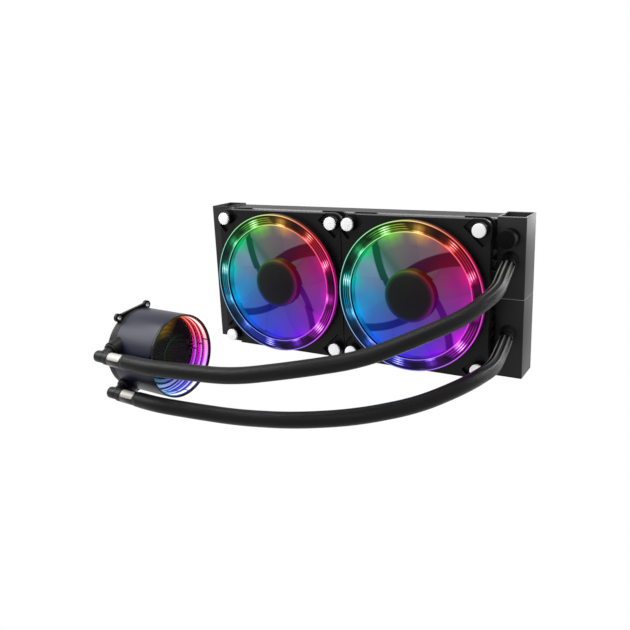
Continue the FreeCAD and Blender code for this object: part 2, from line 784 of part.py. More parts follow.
def rotor():
    """The hub cup with its swept blades and the boss that holds the shaft."""
    cup = disc(HUB_RADIUS, HUB_BACK, HUB_FRONT)
    rim = [edge for edge in cup.Edges if abs(edge.CenterOfMass.z - HUB_FRONT) < 0.01]
    cup = cup.makeFillet(HUB_FILLET, rim)
    cup = cup.cut(disc(HUB_RADIUS - HUB_WALL, HUB_BACK, HUB_FRONT - HUB_WALL))
    boss = disc(2 * SHAFT_RADIUS, HUB_FRONT - 6, HUB_FRONT - HUB_WALL)
    whole = fuse([cup, boss] + around(blade(), BLADE_COUNT, BLADE_FIRST))
    return whole.cut(disc(SHAFT_RADIUS + CLOSE_FIT, 0, HUB_FRONT - HUB_WALL))


def yoke():
    front = HUB_FRONT - HUB_WALL
    cup = disc(YOKE_RADIUS, YOKE_BACK, front)
    cup = cup.cut(disc(YOKE_RADIUS - YOKE_SHEET, YOKE_BACK, front - YOKE_SHEET))
    return cup.cut(disc(2 * SHAFT_RADIUS + CLOSE_FIT, YOKE_BACK, front))


def stator():
    """A laminated core: a ring with poles that end in curved shoes."""
    z0, z1 = STATOR_BACK, STATOR_BACK + STATOR_HEIGHT
    core = ring(STATOR_CORE, BEARING_TUBE_RADIUS + CLOSE_FIT, z0, z1)
    reach = STATOR_RADIUS - POLE_SHOE / 2
    pole = box(STATOR_CORE - 1, reach, -POLE_WIDTH / 2, POLE_WIDTH / 2, z0, z1)
    shoes = ring(STATOR_RADIUS, STATOR_RADIUS - POLE_SHOE, z0, z1)
    half = math.radians(POLE_SHOE_ANGLE / 2)
    past = 2 * STATOR_RADIUS
    wedge = prism([(0, 0), (past, -past * math.tan(half)), (past, past * math.tan(half))], z0, z1)
    pole = fuse([pole, shoes.common(wedge)])
    return fuse([core] + around(pole, POLE_COUNT, POLE_FIRST))


def coils():
    z0 = STATOR_BACK - COIL_WALL
    z1 = STATOR_BACK + STATOR_HEIGHT + COIL_WALL
    inner = STATOR_CORE + 0.6
    outer = STATOR_RADIUS - POLE_SHOE - 0.6
    half = POLE_WIDTH / 2
    coil = box(inner, outer, -half - COIL_WALL, half + COIL_WALL, z0, z1)
    coil = coil.cut(box(inner, outer, -half, half, STATOR_BACK, STATOR_BACK + STATOR_HEIGHT))
    return around(coil, POLE_COUNT, POLE_FIRST)


def fan(side):
    place = fan_place(side)
    save("fan_frame_" + side, fan_frame(), place)
    save("light_ring_" + side, light_ring(), place)
    save("led_ring_" + side, led_ring(), place)
    save("rotor_" + side, rotor(), place)
    save("rotor_yoke_" + side, yoke(), place)
    magnet = ring(
        MAGNET_RADIUS, MAGNET_RADIUS - MAGNET_WALL, YOKE_BACK, YOKE_BACK + MAGNET_LENGTH
    )
    save("rotor_magnet_" + side, magnet, place)
    shaft = disc(SHAFT_RADIUS, MOTOR_BASE + 0.4, HUB_FRONT - HUB_WALL)
    save("rotor_shaft_" + side, shaft, place)
    bearing = ring(
        BEARING_RADIUS - CLOSE_FIT, SHAFT_RADIUS + CLOSE_FIT, MOTOR_BASE, MOTOR_BASE + BEARING_LENGTH - 0.5
    )
    save("shaft_bearing_" + side, bearing, place)
    save("motor_stator_" + side, stator(), place)
    save("motor_coils_" + side, coils(), place)
    board = ring(STATOR_RADIUS, BEARING_TUBE_RADIUS + CLOSE_FIT, MOTOR_BASE, MOTOR_BASE + MOTOR_BOARD)
    save("motor_board_" + side, board, place)


def fan_fasteners():
    """The long screws through each fan's corners, and the round pads that cap their posts."""
    seat = UPPER_PLATE_FRONT - HEAD_SINK
    shank = disc(SCREW_RADIUS, -SCREW_TIP, seat)
    screw = fuse([shank, disc(SCREW_HEAD_RADIUS, seat, seat + SCREW_HEAD)])
    top = POST_FRONT + PAD_HEIGHT
    pad = disc(PAD_RADIUS, POST_FRONT, top)
    edge = [line for line in pad.Edges if abs(line.CenterOfMass.z - top) < 0.01]
    pad = fuse([pad.makeChamfer(0.4, edge), disc(HEAD_BORE - CLOSE_FIT, POST_FRONT - PAD_PLUG, POST_FRONT)])
    screws = []
    pads = []
    for side in FAN_CENTRES:
        for x, y in CORNERS:
            for stock, row in ((screw, screws), (pad, pads)):
                piece = stock.copy()
                piece.translate(Vector(x, y, 0))
                row.append(piece.transformed(fan_place(side)))
    save("fan_screws", screws)
    save("fan_pads", pads)


# Pump head


def port_point(side, along):
    """A point on one port's line: both lines run the same way, one on each side of the middle."""
    x, y = polar(along, FITTING_TURN)
    dx, dy = polar(side * FITTING_SPREAD, FITTING_TURN - 90)
    return x + dx, y + dy


def port_rod(radius, side, start, end):
    """A round bar along one port's line, square to the pump head's axis."""
    x, y = port_point(side, start)
    out = Vector(*polar(1.0, FITTING_TURN), 0)
    return rod(radius, Vector(x, y, BOSS_AXIAL), out, end - start)


def pump_base():
    """The foot moulding: it holds the cold plate, the water's rooms and the two bosses."""
    neck = disc(BASE_NECK_RADIUS, BASE_NECK_BACK, BASE_BAND_BACK)
    band = disc(PUMP_RADIUS, BASE_BAND_BACK, BASE_BAND_FRONT)
    core = disc(SHELL_INNER - CLOSE_FIT, BASE_BAND_FRONT, BASE_CORE_FRONT)
    posts = [
        disc(BOARD_POST_RADIUS, BASE_CORE_FRONT, BOARD_BACK, *polar(BOARD_POST_CIRCLE, angle))
        for angle in (0, 120, 240)
    ]
    bosses = [port_rod(BOSS_RADIUS, side, BOSS_START, BOSS_TOP) for side in FITTING_SIDES]
    whole = fuse([neck, band, core] + posts + bosses)
    fin_room_front = PLATE_THICKNESS + MICROFIN_HEIGHT + 0.3
    rooms = [
        disc(PLATE_RADIUS, 0, PLATE_THICKNESS),
        disc(FIN_CAVITY_RADIUS, PLATE_THICKNESS, fin_room_front),
        disc(JET_RADIUS, fin_room_front, fin_room_front + JET_PLATE),
        disc(IMPELLER_CAVITY, fin_room_front + JET_PLATE, COVER_BACK),
        disc(COVER_RADIUS, COVER_BACK, BASE_CORE_FRONT),
    ]
    for side in FITTING_SIDES:
        rooms.append(port_rod(SPIGOT_RADIUS + CLOSE_FIT, side, SPIGOT_END - 0.5, BOSS_TOP))
        rooms.append(port_rod(WATERWAY, side, 0, BOSS_TOP))
    for index in range(PLATE_SCREWS):
        x, y = polar(PLATE_SCREW_CIRCLE, PLATE_SCREW_FIRST + index * 360.0 / PLATE_SCREWS)
        rooms.append(disc(PLATE_SCREW_RADIUS + CLOSE_FIT, PLATE_THICKNESS, PLATE_SCREW_LENGTH, x, y))
    whole = cut(whole, rooms)
    spindle = disc(PUMP_SHAFT_RADIUS + 1.4, fin_room_front, fin_room_front + JET_PLATE)
    arms = box(
        -JET_RADIUS - 0.5, JET_RADIUS + 0.5, -0.8, 0.8, fin_room_front, fin_room_front + JET_PLATE
    )
    holder = fuse([spindle, arms]).cut(disc(PUMP_SHAFT_RADIUS + CLOSE_FIT, 0, BOARD_BACK))
    return fuse([whole, holder])


def cold_plate():
    """The copper plate with its field of small fins on the water side."""
    plate = disc(PLATE_RADIUS - CLOSE_FIT, 0, PLATE_THICKNESS)
    half = MICROFIN_FIELD / 2
    step = (MICROFIN_FIELD - MICROFIN_THICKNESS) / (MICROFIN_COUNT - 1)
    front = PLATE_THICKNESS + MICROFIN_HEIGHT
    fins = []
    for index in range(MICROFIN_COUNT):
        x = -half + index * step
        fins.append(box(x, x + MICROFIN_THICKNESS, -half, half, PLATE_THICKNESS - 0.5, front))
    holes = []
    for index in range(PLATE_SCREWS):
        x, y = polar(PLATE_SCREW_CIRCLE, PLATE_SCREW_FIRST + index * 360.0 / PLATE_SCREWS)
        holes.append(disc(PLATE_SCREW_RADIUS + CLOSE_FIT, 0, PLATE_THICKNESS, x, y))
        holes.append(disc(PLATE_SCREW_HEAD + CLOSE_FIT, 0, PLATE_THICKNESS / 2, x, y))
    return cut(fuse([plate] + fins), holes)


def plate_screws():
    screw = fuse([
        disc(PLATE_SCREW_HEAD, 0.2, PLATE_THICKNESS / 2, PLATE_SCREW_CIRCLE, 0),
        disc(PLATE_SCREW_RADIUS, PLATE_THICKNESS / 2, PLATE_SCREW_LENGTH, PLATE_SCREW_CIRCLE, 0),
    ])
    return around(screw, PLATE_SCREWS, PLATE_SCREW_FIRST)


def bracket():
    """A ring round the foot with two pairs of ears, each pair joined by a straight bar."""
    front = BASE_BAND_BACK
    back = front - BRACKET_THICKNESS
    pieces = [disc(BRACKET_RING_RADIUS, back, front)]
    for first, second in (EAR_ANGLES[:2], EAR_ANGLES[2:]):
        ends = [Vector(*polar(EAR_CIRCLE, angle), 0) for angle in (first, second)]
        along = ends[1] - ends[0]
        along.normalize()
        side = Vector(-along.y, along.x, 0) * (EAR_BAR / 2)
        corners = [ends[0] + side, ends[1] + side, ends[1] - side, ends[0] - side]
        pieces.append(prism([(point.x, point.y) for point in corners], back, front))
        pieces += [disc(EAR_RADIUS, back, front, point.x, point.y) for point in ends]
        gusset = [(0, 0), (ends[0].x, ends[0].y), (ends[1].x, ends[1].y)]
        pieces.append(prism(gusset, back, front))
    holes = [disc(BUSH_RADIUS, back, front, *polar(EAR_CIRCLE, angle)) for angle in EAR_ANGLES]
    return cut(fuse(pieces), [disc(BASE_NECK_RADIUS + CLOSE_FIT, back, front)] + holes)


def bracket_bushes():
    back = BASE_BAND_BACK - BRACKET_THICKNESS - BUSH_PROUD
    front = BASE_BAND_BACK + BUSH_PROUD
    outer = BUSH_RADIUS - CLOSE_FIT
    return [ring(outer, BUSH_BORE, back, front, *polar(EAR_CIRCLE, angle)) for angle in EAR_ANGLES]


def pump_shell():
    """The drawn metal can, with an inner ledge for the mirror cup and room for the bosses."""
    can = ring(PUMP_RADIUS, SHELL_INNER, BASE_BAND_FRONT, GLASS_BACK)
    ledge_back = CUP_FLOOR_BACK - LEDGE_HEIGHT
    ledge = ring(SHELL_INNER + 0.5, SHELL_INNER - SHELL_LEDGE, ledge_back, CUP_FLOOR_BACK)
    bosses = [port_rod(BOSS_RADIUS + CLOSE_FIT, side, 0, BOSS_TOP + 2) for side in FITTING_SIDES]
    return cut(fuse([can, ledge]), bosses)


def impeller():
    """A disc with bent vanes on a hub that carries the magnet."""
    top = IMPELLER_BACK + IMPELLER_DISC
    disc_part = disc(IMPELLER_RADIUS, IMPELLER_BACK, top)
    hub = disc(IMPELLER_HUB, IMPELLER_BACK, ROTOR_MAGNET_BACK)
    half = VANE_THICKNESS / 2
    bend = ring(VANE_BEND + half, VANE_BEND - half, top, top + VANE_HEIGHT, IMPELLER_HUB, -VANE_BEND)
    quarter = box(IMPELLER_HUB - 1, IMPELLER_RADIUS, -VANE_BEND, VANE_BEND, top, top + VANE_HEIGHT)
    vane = bend.common(quarter).common(disc(IMPELLER_RADIUS - half, top, top + VANE_HEIGHT))
    whole = fuse([disc_part, hub] + around(vane, VANE_COUNT))
    return whole.cut(disc(PUMP_SHAFT_RADIUS + CLOSE_FIT, 0, ROTOR_MAGNET_BACK))


def chamber_cover():
    """It closes the impeller's room and covers the magnet with a thin can."""
    plate = disc(COVER_RADIUS - CLOSE_FIT, COVER_BACK, COVER_BACK + COVER_THICKNESS)
    can = disc(CAN_RADIUS, COVER_BACK, CAN_FRONT)
    room = disc(CAN_RADIUS - CAN_WALL, COVER_BACK, CAN_FRONT - CAN_WALL - 1)
    seat = disc(PUMP_SHAFT_RADIUS + CLOSE_FIT, COVER_BACK, CAN_FRONT - CAN_WALL)
    return cut(fuse([plate, can]), [room, seat])


def pump_stator():
    z0 = BASE_CORE_FRONT
    z1 = z0 + PUMP_STATOR_HEIGHT
    rim = ring(PUMP_STATOR_RADIUS, PUMP_STATOR_RADIUS - 2, z0, z1)
    inner = CAN_RADIUS + 0.2
    half = PUMP_POLE_WIDTH / 2
    pole = box(inner - 1, PUMP_STATOR_RADIUS - 1, -half, half, z0, z1)
    pole = pole.cut(disc(inner, z0, z1))
    wound = half + COIL_WALL
    winding = box(
        inner + 2, PUMP_STATOR_RADIUS - 3, -wound, wound, z0 - COIL_WALL / 2, z1 + COIL_WALL / 2
    )
    return fuse([rim] + around(fuse([pole, winding]), PUMP_POLES))


def elbow(side):
    """A swivel elbow: a spigot in the boss, a plugged knob behind, a hose barb in front."""
    spigot_top = BOSS_TOP + GLAND_HEIGHT + SWIVEL_GAP
    spigot = port_rod(SPIGOT_RADIUS, side, SPIGOT_END, spigot_top)
    x, y = port_point(side, FITTING_REACH)
    neck = port_rod(NECK_RADIUS, side, spigot_top, FITTING_REACH)
    knob = disc(KNOB_RADIUS, KNOB_BACK, KNOB_FRONT, x, y)
    rim = [edge for edge in knob.Edges if abs(edge.CenterOfMass.z - KNOB_BACK) < 0.01]
    knob = knob.makeFillet(0.8, rim)
    body = disc(ELBOW_RADIUS, KNOB_FRONT, ELBOW_FRONT, x, y)
    barb = disc(BARB_RADIUS, ELBOW_FRONT, COLLAR_FRONT + FITTING_BARB, x, y)
    way_in = port_rod(WATERWAY, side, SPIGOT_END, FITTING_REACH)
    way_out = disc(WATERWAY, BOSS_AXIAL, COLLAR_FRONT + FITTING_BARB, x, y)
    return cut(fuse([spigot, neck, knob, body, barb]), [way_in, way_out])


def collar(side):
    """The crimped sleeve behind the hose, with a flat polished window on its outer side."""
    x, y = port_point(side, FITTING_REACH)
    sleeve = ring(COLLAR_RADIUS, HOSE_BORE, ELBOW_FRONT, COLLAR_FRONT)
    flat = COLLAR_RADIUS - 0.35
    half = COLLAR_WINDOW / 2
    shave = box(flat, 2 * flat, -half, half, ELBOW_FRONT + 2, COLLAR_FRONT - 2)
    shave.rotate(Vector(0, 0, 0), Vector(0, 0, 1), WINDOW_TURN)
    sleeve = sleeve.cut(shave)
    sleeve.translate(Vector(x, y, 0))
    return sleeve


def pump_head():
    place = pump_place()
    save("pump_base", pump_base(), place)
    save("cold_plate", cold_plate(), place)
    save("cold_plate_screws", plate_screws(), place)
    save("mount_bracket", bracket(), place)
    save("bracket_bushes", bracket_bushes(), place)
    save("pump_shell", pump_shell(), place)
    save("pump_impeller", impeller(), place)
    magnet = ring(
        ROTOR_MAGNET_RADIUS,
        PUMP_SHAFT_RADIUS + CLOSE_FIT,
        ROTOR_MAGNET_BACK,
        ROTOR_MAGNET_FRONT,
    )
    save("pump_rotor_magnet", magnet, place)
    shaft_back = PLATE_THICKNESS + MICROFIN_HEIGHT + 0.3
    shaft = disc(PUMP_SHAFT_RADIUS, shaft_back, CAN_FRONT - CAN_WALL)
    save("pump_shaft", shaft, place)
    save("pump_chamber_cover", chamber_cover(), place)
    save("pump_stator", pump_stator(), place)
    save("pump_board", disc(BOARD_RADIUS, BOARD_BACK, BOARD_BACK + BOARD_THICKNESS), place)
    cup = disc(CUP_RADIUS, CUP_FLOOR_BACK, GLASS_BACK)
    cup = cup.cut(disc(CUP_RADIUS - CUP_WALL, CUP_FLOOR_BACK + CUP_WALL, GLASS_BACK))
    save("mirror_cup", cup, place)
    room = CUP_RADIUS - CUP_WALL - CLOSE_FIT
    board_front = GLASS_BACK - FACE_LIGHT_HEIGHT
    board = ring(room, room - FACE_LIGHT_WIDTH, board_front - FACE_BOARD, board_front)
    save("face_led_board", board, place)
    light = ring(room, room - FACE_LIGHT_WIDTH, board_front, GLASS_BACK)
    save("face_light_ring", light, place)
    glass_radius = PUMP_RADIUS - BEZEL_WIDTH
    glass = disc(glass_radius - CLOSE_FIT, GLASS_BACK, GLASS_BACK + GLASS_THICKNESS)
    save("face_glass", glass, place)
    bezel = ring(PUMP_RADIUS, glass_radius, GLASS_BACK, PUMP_LENGTH)
    edge = [
        line
        for line in bezel.Edges
        if abs(line.CenterOfMass.z - PUMP_LENGTH) < 0.01
        and line.BoundBox.XLength > 2 * glass_radius + 1
    ]
    save("face_bezel", bezel.makeFillet(0.6, edge), place)
    gland_top = BOSS_TOP + GLAND_HEIGHT
    glands = [
        port_rod(GLAND_RADIUS, side, BOSS_TOP, gland_top).cut(
            port_rod(SPIGOT_RADIUS + CLOSE_FIT, side, 0, gland_top)
        )
        for side in FITTING_SIDES
    ]
    save("swivel_glands", glands, place)
    for name, side in zip(("upper", "lower"), FITTING_SIDES):
        save("elbow_" + name, elbow(side), place)
        save("collar_" + name, collar(side), place)


# Hoses


def rounded_path(name, points):
    """Straight runs joined by tangent arcs, each as large as its two runs allow."""
    edges = []
    radii = []
    start = points[0]
    for before, corner, after in zip(points, points[1:], points[2:]):
        back = before - corner
        ahead = after - corner
        reach = ARC_SHARE * min(back.Length, ahead.Length)
        back.normalize()
        ahead.normalize()
        half_turn = (math.pi - back.getAngle(ahead)) / 2
        radius = reach / math.tan(half_turn)
        toward = back + ahead
        toward.normalize()
        middle = corner + toward * (radius / math.cos(half_turn) - radius)
        enter = corner + back * reach
        leave = corner + ahead * reach
        edges.append(Part.LineSegment(start, enter).toShape())
        edges.append(Part.Arc(enter, middle, leave).toShape())
        start = leave
        radii.append(radius)
    edges.append(Part.LineSegment(start, points[-1]).toShape())
    path = Part.Wire(edges)
    print(name, "length", round(path.Length, 1), "radii", [round(radius, 1) for radius in radii])
    return path


def route(index, middle):
    """A hose's points: straight out of the outlet, along its way, and straight onto the elbow."""
    outlet = Vector(PORT_X, RAD_FRONT_Y, PORT_Z[index]) + port_axis() * PORT_PAD_REACH
    clear = outlet + port_axis() * OUTLET_RUN[index]
    x, y = port_point(FITTING_SIDES[index], FITTING_REACH)
    place = pump_place()
    fitting = place.multVec(Vector(x, y, COLLAR_FRONT))
    before = place.multVec(Vector(x, y, COLLAR_FRONT + FITTING_RUN))
    return [outlet, clear] + [Vector(*point) for point in middle] + [before, fitting]


def hose(name, points):
    """A hose with its woven sleeve: one plain tube along its route."""
    path = rounded_path(name, points)
    solids = []
    for radius in (HOSE_RADIUS, HOSE_BORE):
        circle = Part.Wire(Part.Circle(points[0], points[1] - points[0], radius).toShape())
        solids.append(path.makePipeShell([circle], True, False))
    tube = solids[0].cut(solids[1])
    section = math.pi * (HOSE_RADIUS ** 2 - HOSE_BORE ** 2)
    print(name, "volume over section times length", round(tube.Volume / (section * path.Length), 4))
    print([tuple(round(value, 2) for value in point) for point in points])
    save(name, tube)


os.makedirs("parts", exist_ok=True)
radiator()
for fan_side in FAN_CENTRES:
    fan(fan_side)
fan_fasteners()
pump_head()
hose("hose_upper", route(0, UPPER_ROUTE))
hose("hose_lower", route(1, LOWER_ROUTE))
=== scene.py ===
import json
import math
import bmesh
import bpy
from mathutils import Matrix, Vector


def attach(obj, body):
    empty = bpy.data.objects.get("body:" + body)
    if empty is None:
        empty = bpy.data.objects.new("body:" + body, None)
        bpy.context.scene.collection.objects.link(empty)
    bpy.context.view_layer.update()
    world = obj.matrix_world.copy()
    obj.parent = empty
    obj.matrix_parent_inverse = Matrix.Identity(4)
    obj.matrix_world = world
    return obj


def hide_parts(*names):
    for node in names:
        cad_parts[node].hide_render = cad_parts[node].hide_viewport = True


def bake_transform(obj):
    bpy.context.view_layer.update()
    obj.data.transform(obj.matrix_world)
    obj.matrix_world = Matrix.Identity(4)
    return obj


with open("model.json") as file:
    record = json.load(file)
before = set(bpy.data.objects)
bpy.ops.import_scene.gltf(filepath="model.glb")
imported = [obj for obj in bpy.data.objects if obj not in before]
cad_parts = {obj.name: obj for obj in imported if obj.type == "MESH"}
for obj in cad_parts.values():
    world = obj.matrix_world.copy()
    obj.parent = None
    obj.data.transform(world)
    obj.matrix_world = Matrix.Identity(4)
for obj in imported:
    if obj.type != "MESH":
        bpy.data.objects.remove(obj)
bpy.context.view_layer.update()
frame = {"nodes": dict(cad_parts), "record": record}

MM = 0.001

# Sizes in millimetres, most of them shared with the part's source

# The row of fans: where it stands, then one fan's own sizes and counts
SEAT_Y = 80.45
RAD_FRONT_Y = 77.45
RAD_BACK_Y = 104.45
MID_Z = 60.5
FAN_X = {"left": -61.8, "right": 58.7}
FAN_HALF = 60.0
HOLE = 52.5
RING_INNER = 49.2
RING_OUTER = 58.6
FAN_DUCT = 50.0
FAN_SCREW = 2.2
RING_SEAT = 22.0
HUB = 20.5
STRUT_HALF = 3.15
WIDE_STRUT_HALF = 5.5
BLADES = 9
BLADE_ROOT = 20.0
BLADE_SWEEP = 14.0
FAN_LAMPS = 12

# The pump head, its fittings and the hoses
PUMP_RADIUS = 30.1
PUMP_LENGTH = 45.8
SHELL_INNER = 28.9
SHELL_TOP = 44.1
PUMP_FACE = Vector((-65.5, -60.65, 33.73))
PUMP_TURN = math.radians(-3.5)
FITTING_TURN = math.radians(103.75)
FITTING_SIDES = {"upper": 15.3, "lower": -15.3}
FITTING_REACH = 37.4
BOSS_AXIAL = 10.4
PORT_X = 129.0
HOSE_RADIUS = 5.4

# The radiator: its tanks, its core of flat tubes and its folded rails
RAD_END = 140.0
RAD_TOP = 121.0
CORE_LEFT = -122.0
CORE_RIGHT = 119.0
CORE_LOW = 2.5
CORE_HIGH = 118.5
TUBE = 1.8
TUBES = 14
ROW_HEIGHT = (CORE_HIGH - CORE_LOW - TUBES * TUBE) / (TUBES + 1)
SHEET = 1.2
RIM_LOW = 120.4
TRAY = (4.0, 117.0)

# Looks: the strands and pleats round a hose, the steps of the face's green line, and which
# way the collars' bright patches face, by degrees from the top towards the front
STRANDS = 24.0
PLEATS = 9
ARC_STEPS = 60
WINDOW_TURN = 39.5
WHITE = (1.0, 1.0, 1.0, 1.0)

# Steps of a rounded corner
CORNER_STEPS = 4

# The hoses' routes, in metres, from the tank to the pump head
ROUTES = {
    "upper": [
        (0.129, 0.07482, 0.08817),
        (0.129, 0.05941, 0.08099),
        (0.132, 0.035, 0.076),
        (0.122, 0.0, 0.067),
        (0.104, -0.031, 0.061),
        (0.077, -0.058, 0.051),
        (0.042, -0.078, 0.046),
        (0.003, -0.092, 0.040),
        (-0.033, -0.098, 0.040),
        (-0.06155, -0.10093, 0.0397),
        (-0.08151, -0.09971, 0.0397),
    ],
    "lower": [
        (0.129, 0.07482, 0.03267),
        (0.129, 0.05751, 0.0246),
        (0.131, 0.034, 0.022),
        (0.123, -0.001, 0.021),
        (0.103, -0.033, 0.016),
        (0.073, -0.060, 0.013),
        (0.035, -0.074, 0.009),
        (-0.005, -0.080, 0.006),
        (-0.039, -0.088, 0.008),
        (-0.06111, -0.09367, 0.00998),
        (-0.08107, -0.09245, 0.00998),
    ],
}


def place(x_axis, y_axis, z_axis, origin):
    """A matrix from a piece's own axes to the part's frame, with its origin in millimetres."""
    matrix = Matrix((x_axis, y_axis, z_axis)).transposed().to_4x4()
    matrix.translation = [value * MM for value in origin]
    return matrix


# Axes of a piece whose front looks along -Y
FACING_FRONT = ((1, 0, 0), (0, 0, 1), (0, -1, 0))
FAN_PLACE = {side: place(*FACING_FRONT, (x, SEAT_Y, MID_Z)) for side, x in FAN_X.items()}
PUMP_AXIS = Vector((math.cos(PUMP_TURN), math.sin(PUMP_TURN), 0))
PUMP_FRONT = Vector((math.sin(PUMP_TURN), -math.cos(PUMP_TURN), 0))
PUMP_PLACE = place((0, 0, 1), PUMP_FRONT, PUMP_AXIS, PUMP_FACE - PUMP_AXIS * PUMP_LENGTH)
ROW_PLACE = Matrix.Identity(4)


# Meshes


def new_object(name, data):
    obj = bpy.data.objects.new(name, data)
    bpy.context.scene.collection.objects.link(obj)
    return obj


def finish_object(mesh, matrix, slot, nodes=(), body="cooler", finishes=None, smooth=38):
    """Puts a mesh in its place, in its slot's finish or its own, and lets it ride on a body.

    Edges up to the angle of smooth, in degrees, are shaded as round; 0 leaves all faces flat.
    """
    obj = new_object(mesh.name, mesh)
    obj.matrix_world = matrix
    if smooth:
        for polygon in mesh.polygons:
            polygon.use_smooth = True
        mesh.set_sharp_from_angle(angle=math.radians(smooth))
    for finish in finishes or [MATERIALS[slot]]:
        mesh.materials.append(finish)
    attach(obj, body)
    if nodes:
        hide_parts(*nodes)
    return obj


def new_mesh(name, vertices, faces):
    """A mesh from points in millimetres."""
    mesh = bpy.data.meshes.new(name)
    mesh.from_pydata([(x * MM, y * MM, z * MM) for x, y, z in vertices], [], faces)
    mesh.update()
    return mesh


def polar(radius, turn, centre=(0, 0)):
    """A flat point at a radius and a turn about a centre."""
    return centre[0] + radius * math.cos(turn), centre[1] + radius * math.sin(turn)


def rotated(points, angle):
    """Flat points turned by an angle in degrees."""
    cos, sin = math.cos(math.radians(angle)), math.sin(math.radians(angle))
    return [(x * cos - y * sin, x * sin + y * cos) for x, y in points]


def spun(name, profile, segments, closed=True, centre=(0, 0)):
    """A mesh from an outline of radius and height turned about the Z axis."""
    vertices = []
    faces = []
    count = len(profile)
    for step in range(segments):
        turn = 2 * math.pi * step / segments
        vertices += [(*polar(radius, turn, centre), height) for radius, height in profile]
        here, ahead = step * count, (step + 1) % segments * count
        for index in range(count if closed else count - 1):
            after = (index + 1) % count
            faces.append((here + index, ahead + index, ahead + after, here + after))
    return clean(new_mesh(name, vertices, faces))


def tube_faces(rings, around):
    """Quads between rings of points that lie one after another, and both end faces."""
    faces = []
    for low in range(0, (rings - 1) * around, around):
        for step in range(around):
            after = (step + 1) % around
            faces.append((low + step, low + after, low + around + after, low + around + step))
    end = (rings - 1) * around
    return faces + [tuple(range(around))[::-1], tuple(range(end, end + around))]


def join_data(parts):
    """Points and faces of several meshes as one."""
    vertices = []
    faces = []
    for points, polygons in parts:
        base = len(vertices)
        vertices += points
        faces += [tuple(index + base for index in polygon) for polygon in polygons]
    return vertices, faces


def clean(mesh):
    """Joins doubled points and turns all faces outward."""
    work = bmesh.new()
    work.from_mesh(mesh)
    bmesh.ops.remove_doubles(work, verts=work.verts, dist=0.00001)
    bmesh.ops.recalc_face_normals(work, faces=work.faces)
    work.to_mesh(mesh)
    work.free()
    mesh.update()
    return mesh


def rounded(profile, radius):
    """An outline with every corner rounded by an arc that fits its two sides."""
    points = []
    count = len(profile)
    for index in range(count):
        before = Vector(profile[index - 1])
        corner = Vector(profile[index])
        after = Vector(profile[(index + 1) % count])
        back = before - corner
        ahead = after - corner
        reach = min(radius, back.length * 0.45, ahead.length * 0.45)
        start = corner + back.normalized() * reach
        end = corner + ahead.normalized() * reach
        for step in range(CORNER_STEPS + 1):
            part = step / CORNER_STEPS
            first = start.lerp(corner, part)
            second = corner.lerp(end, part)
            point = first.lerp(second, part)
            points.append((point.x, point.y))
    return points


def lathe(name, profile, segments, soften, centre=(0, 0)):
    """A closed outline turned about the Z axis, with softened corners."""
    return spun(name, rounded(profile, soften), segments, True, centre)


def ring_outline(outer, inner, z0, z1):
    """The section of a ring, as radii and heights."""
    return [(inner, z0), (outer, z0), (outer, z1), (inner, z1)]


def turned(name, radius, z0, z1, segments, soften, centre=(0, 0)):
    """A round bar with softened rims."""
    points = [(0.0, z0)]
    for height, start in ((z0 + soften, -90), (z1 - soften, 0)):
        for step in range(CORNER_STEPS + 1):
            turn = math.radians(start + 90 * step / CORNER_STEPS)
            points.append(polar(soften, turn, (radius - soften, height)))
    points.append((0.0, z1))
    return spun(name, points, segments, False, centre)


def circle(radius, segments, centre=(0, 0)):
    """Points round a circle."""
    return [polar(radius, 2 * math.pi * step / segments, centre) for step in range(segments)]


def slab(name, loops, z0, z1, bevel):
    """A flat plate from outlines, the first its edge and the rest its holes, with softened edges."""
    curve = bpy.data.curves.new(name + "_outline", "CURVE")
    curve.dimensions = "2D"
    curve.fill_mode = "BOTH"
    for loop in loops:
        spline = curve.splines.new("POLY")
        spline.points.add(len(loop) - 1)
        for point, (x, y) in zip(spline.points, loop):
            point.co = (x * MM, y * MM, 0, 1)
        spline.use_cyclic_u = True
    curve.extrude = ((z1 - z0) / 2 - bevel) * MM
    curve.bevel_depth = bevel * MM
    curve.bevel_resolution = 1
    curve.offset = -bevel * MM
    holder = bpy.data.objects.new(name + "_holder", curve)
    mesh = bpy.data.meshes.new_from_object(holder)
    bpy.data.objects.remove(holder)
    bpy.data.curves.remove(curve)
    mesh.transform(Matrix.Translation((0, 0, (z0 + z1) / 2 * MM)))
    return mesh


def block(name, x0, x1, y0, y1, z0, z1, bevel):
    """A box with softened edges."""
    work = bmesh.new()
    bmesh.ops.create_cube(work, size=1)
    for vertex in work.verts:
        for axis, (low, high) in enumerate(((x0, x1), (y0, y1), (z0, z1))):
            vertex.co[axis] = (low + high) / 2 * MM + vertex.co[axis] * (high - low) * MM
    bmesh.ops.bevel(
        work, geom=list(work.edges), offset=bevel * MM, segments=2, profile=0.5, affect="EDGES"
    )
    mesh = bpy.data.meshes.new(name)
    work.to_mesh(mesh)
    work.free()
    return mesh


def merged(name, meshes):
    """One mesh from several."""
    work = bmesh.new()
    for mesh in meshes:
        work.from_mesh(mesh)
        bpy.data.meshes.remove(mesh)
    result = bpy.data.meshes.new(name)
    work.to_mesh(result)
    work.free()
    return result


def moved(mesh, matrix):
    mesh.transform(matrix)
    return mesh


# Materials


def rgb(*screen):
    """A screen colour, 0 to 255, as the linear colour that shaders use."""
    parts = [value / 255 for value in screen]
    linear = [part / 12.92 if part <= 0.04045 else ((part + 0.055) / 1.055) ** 2.4 for part in parts]
    return (*linear, 1.0)


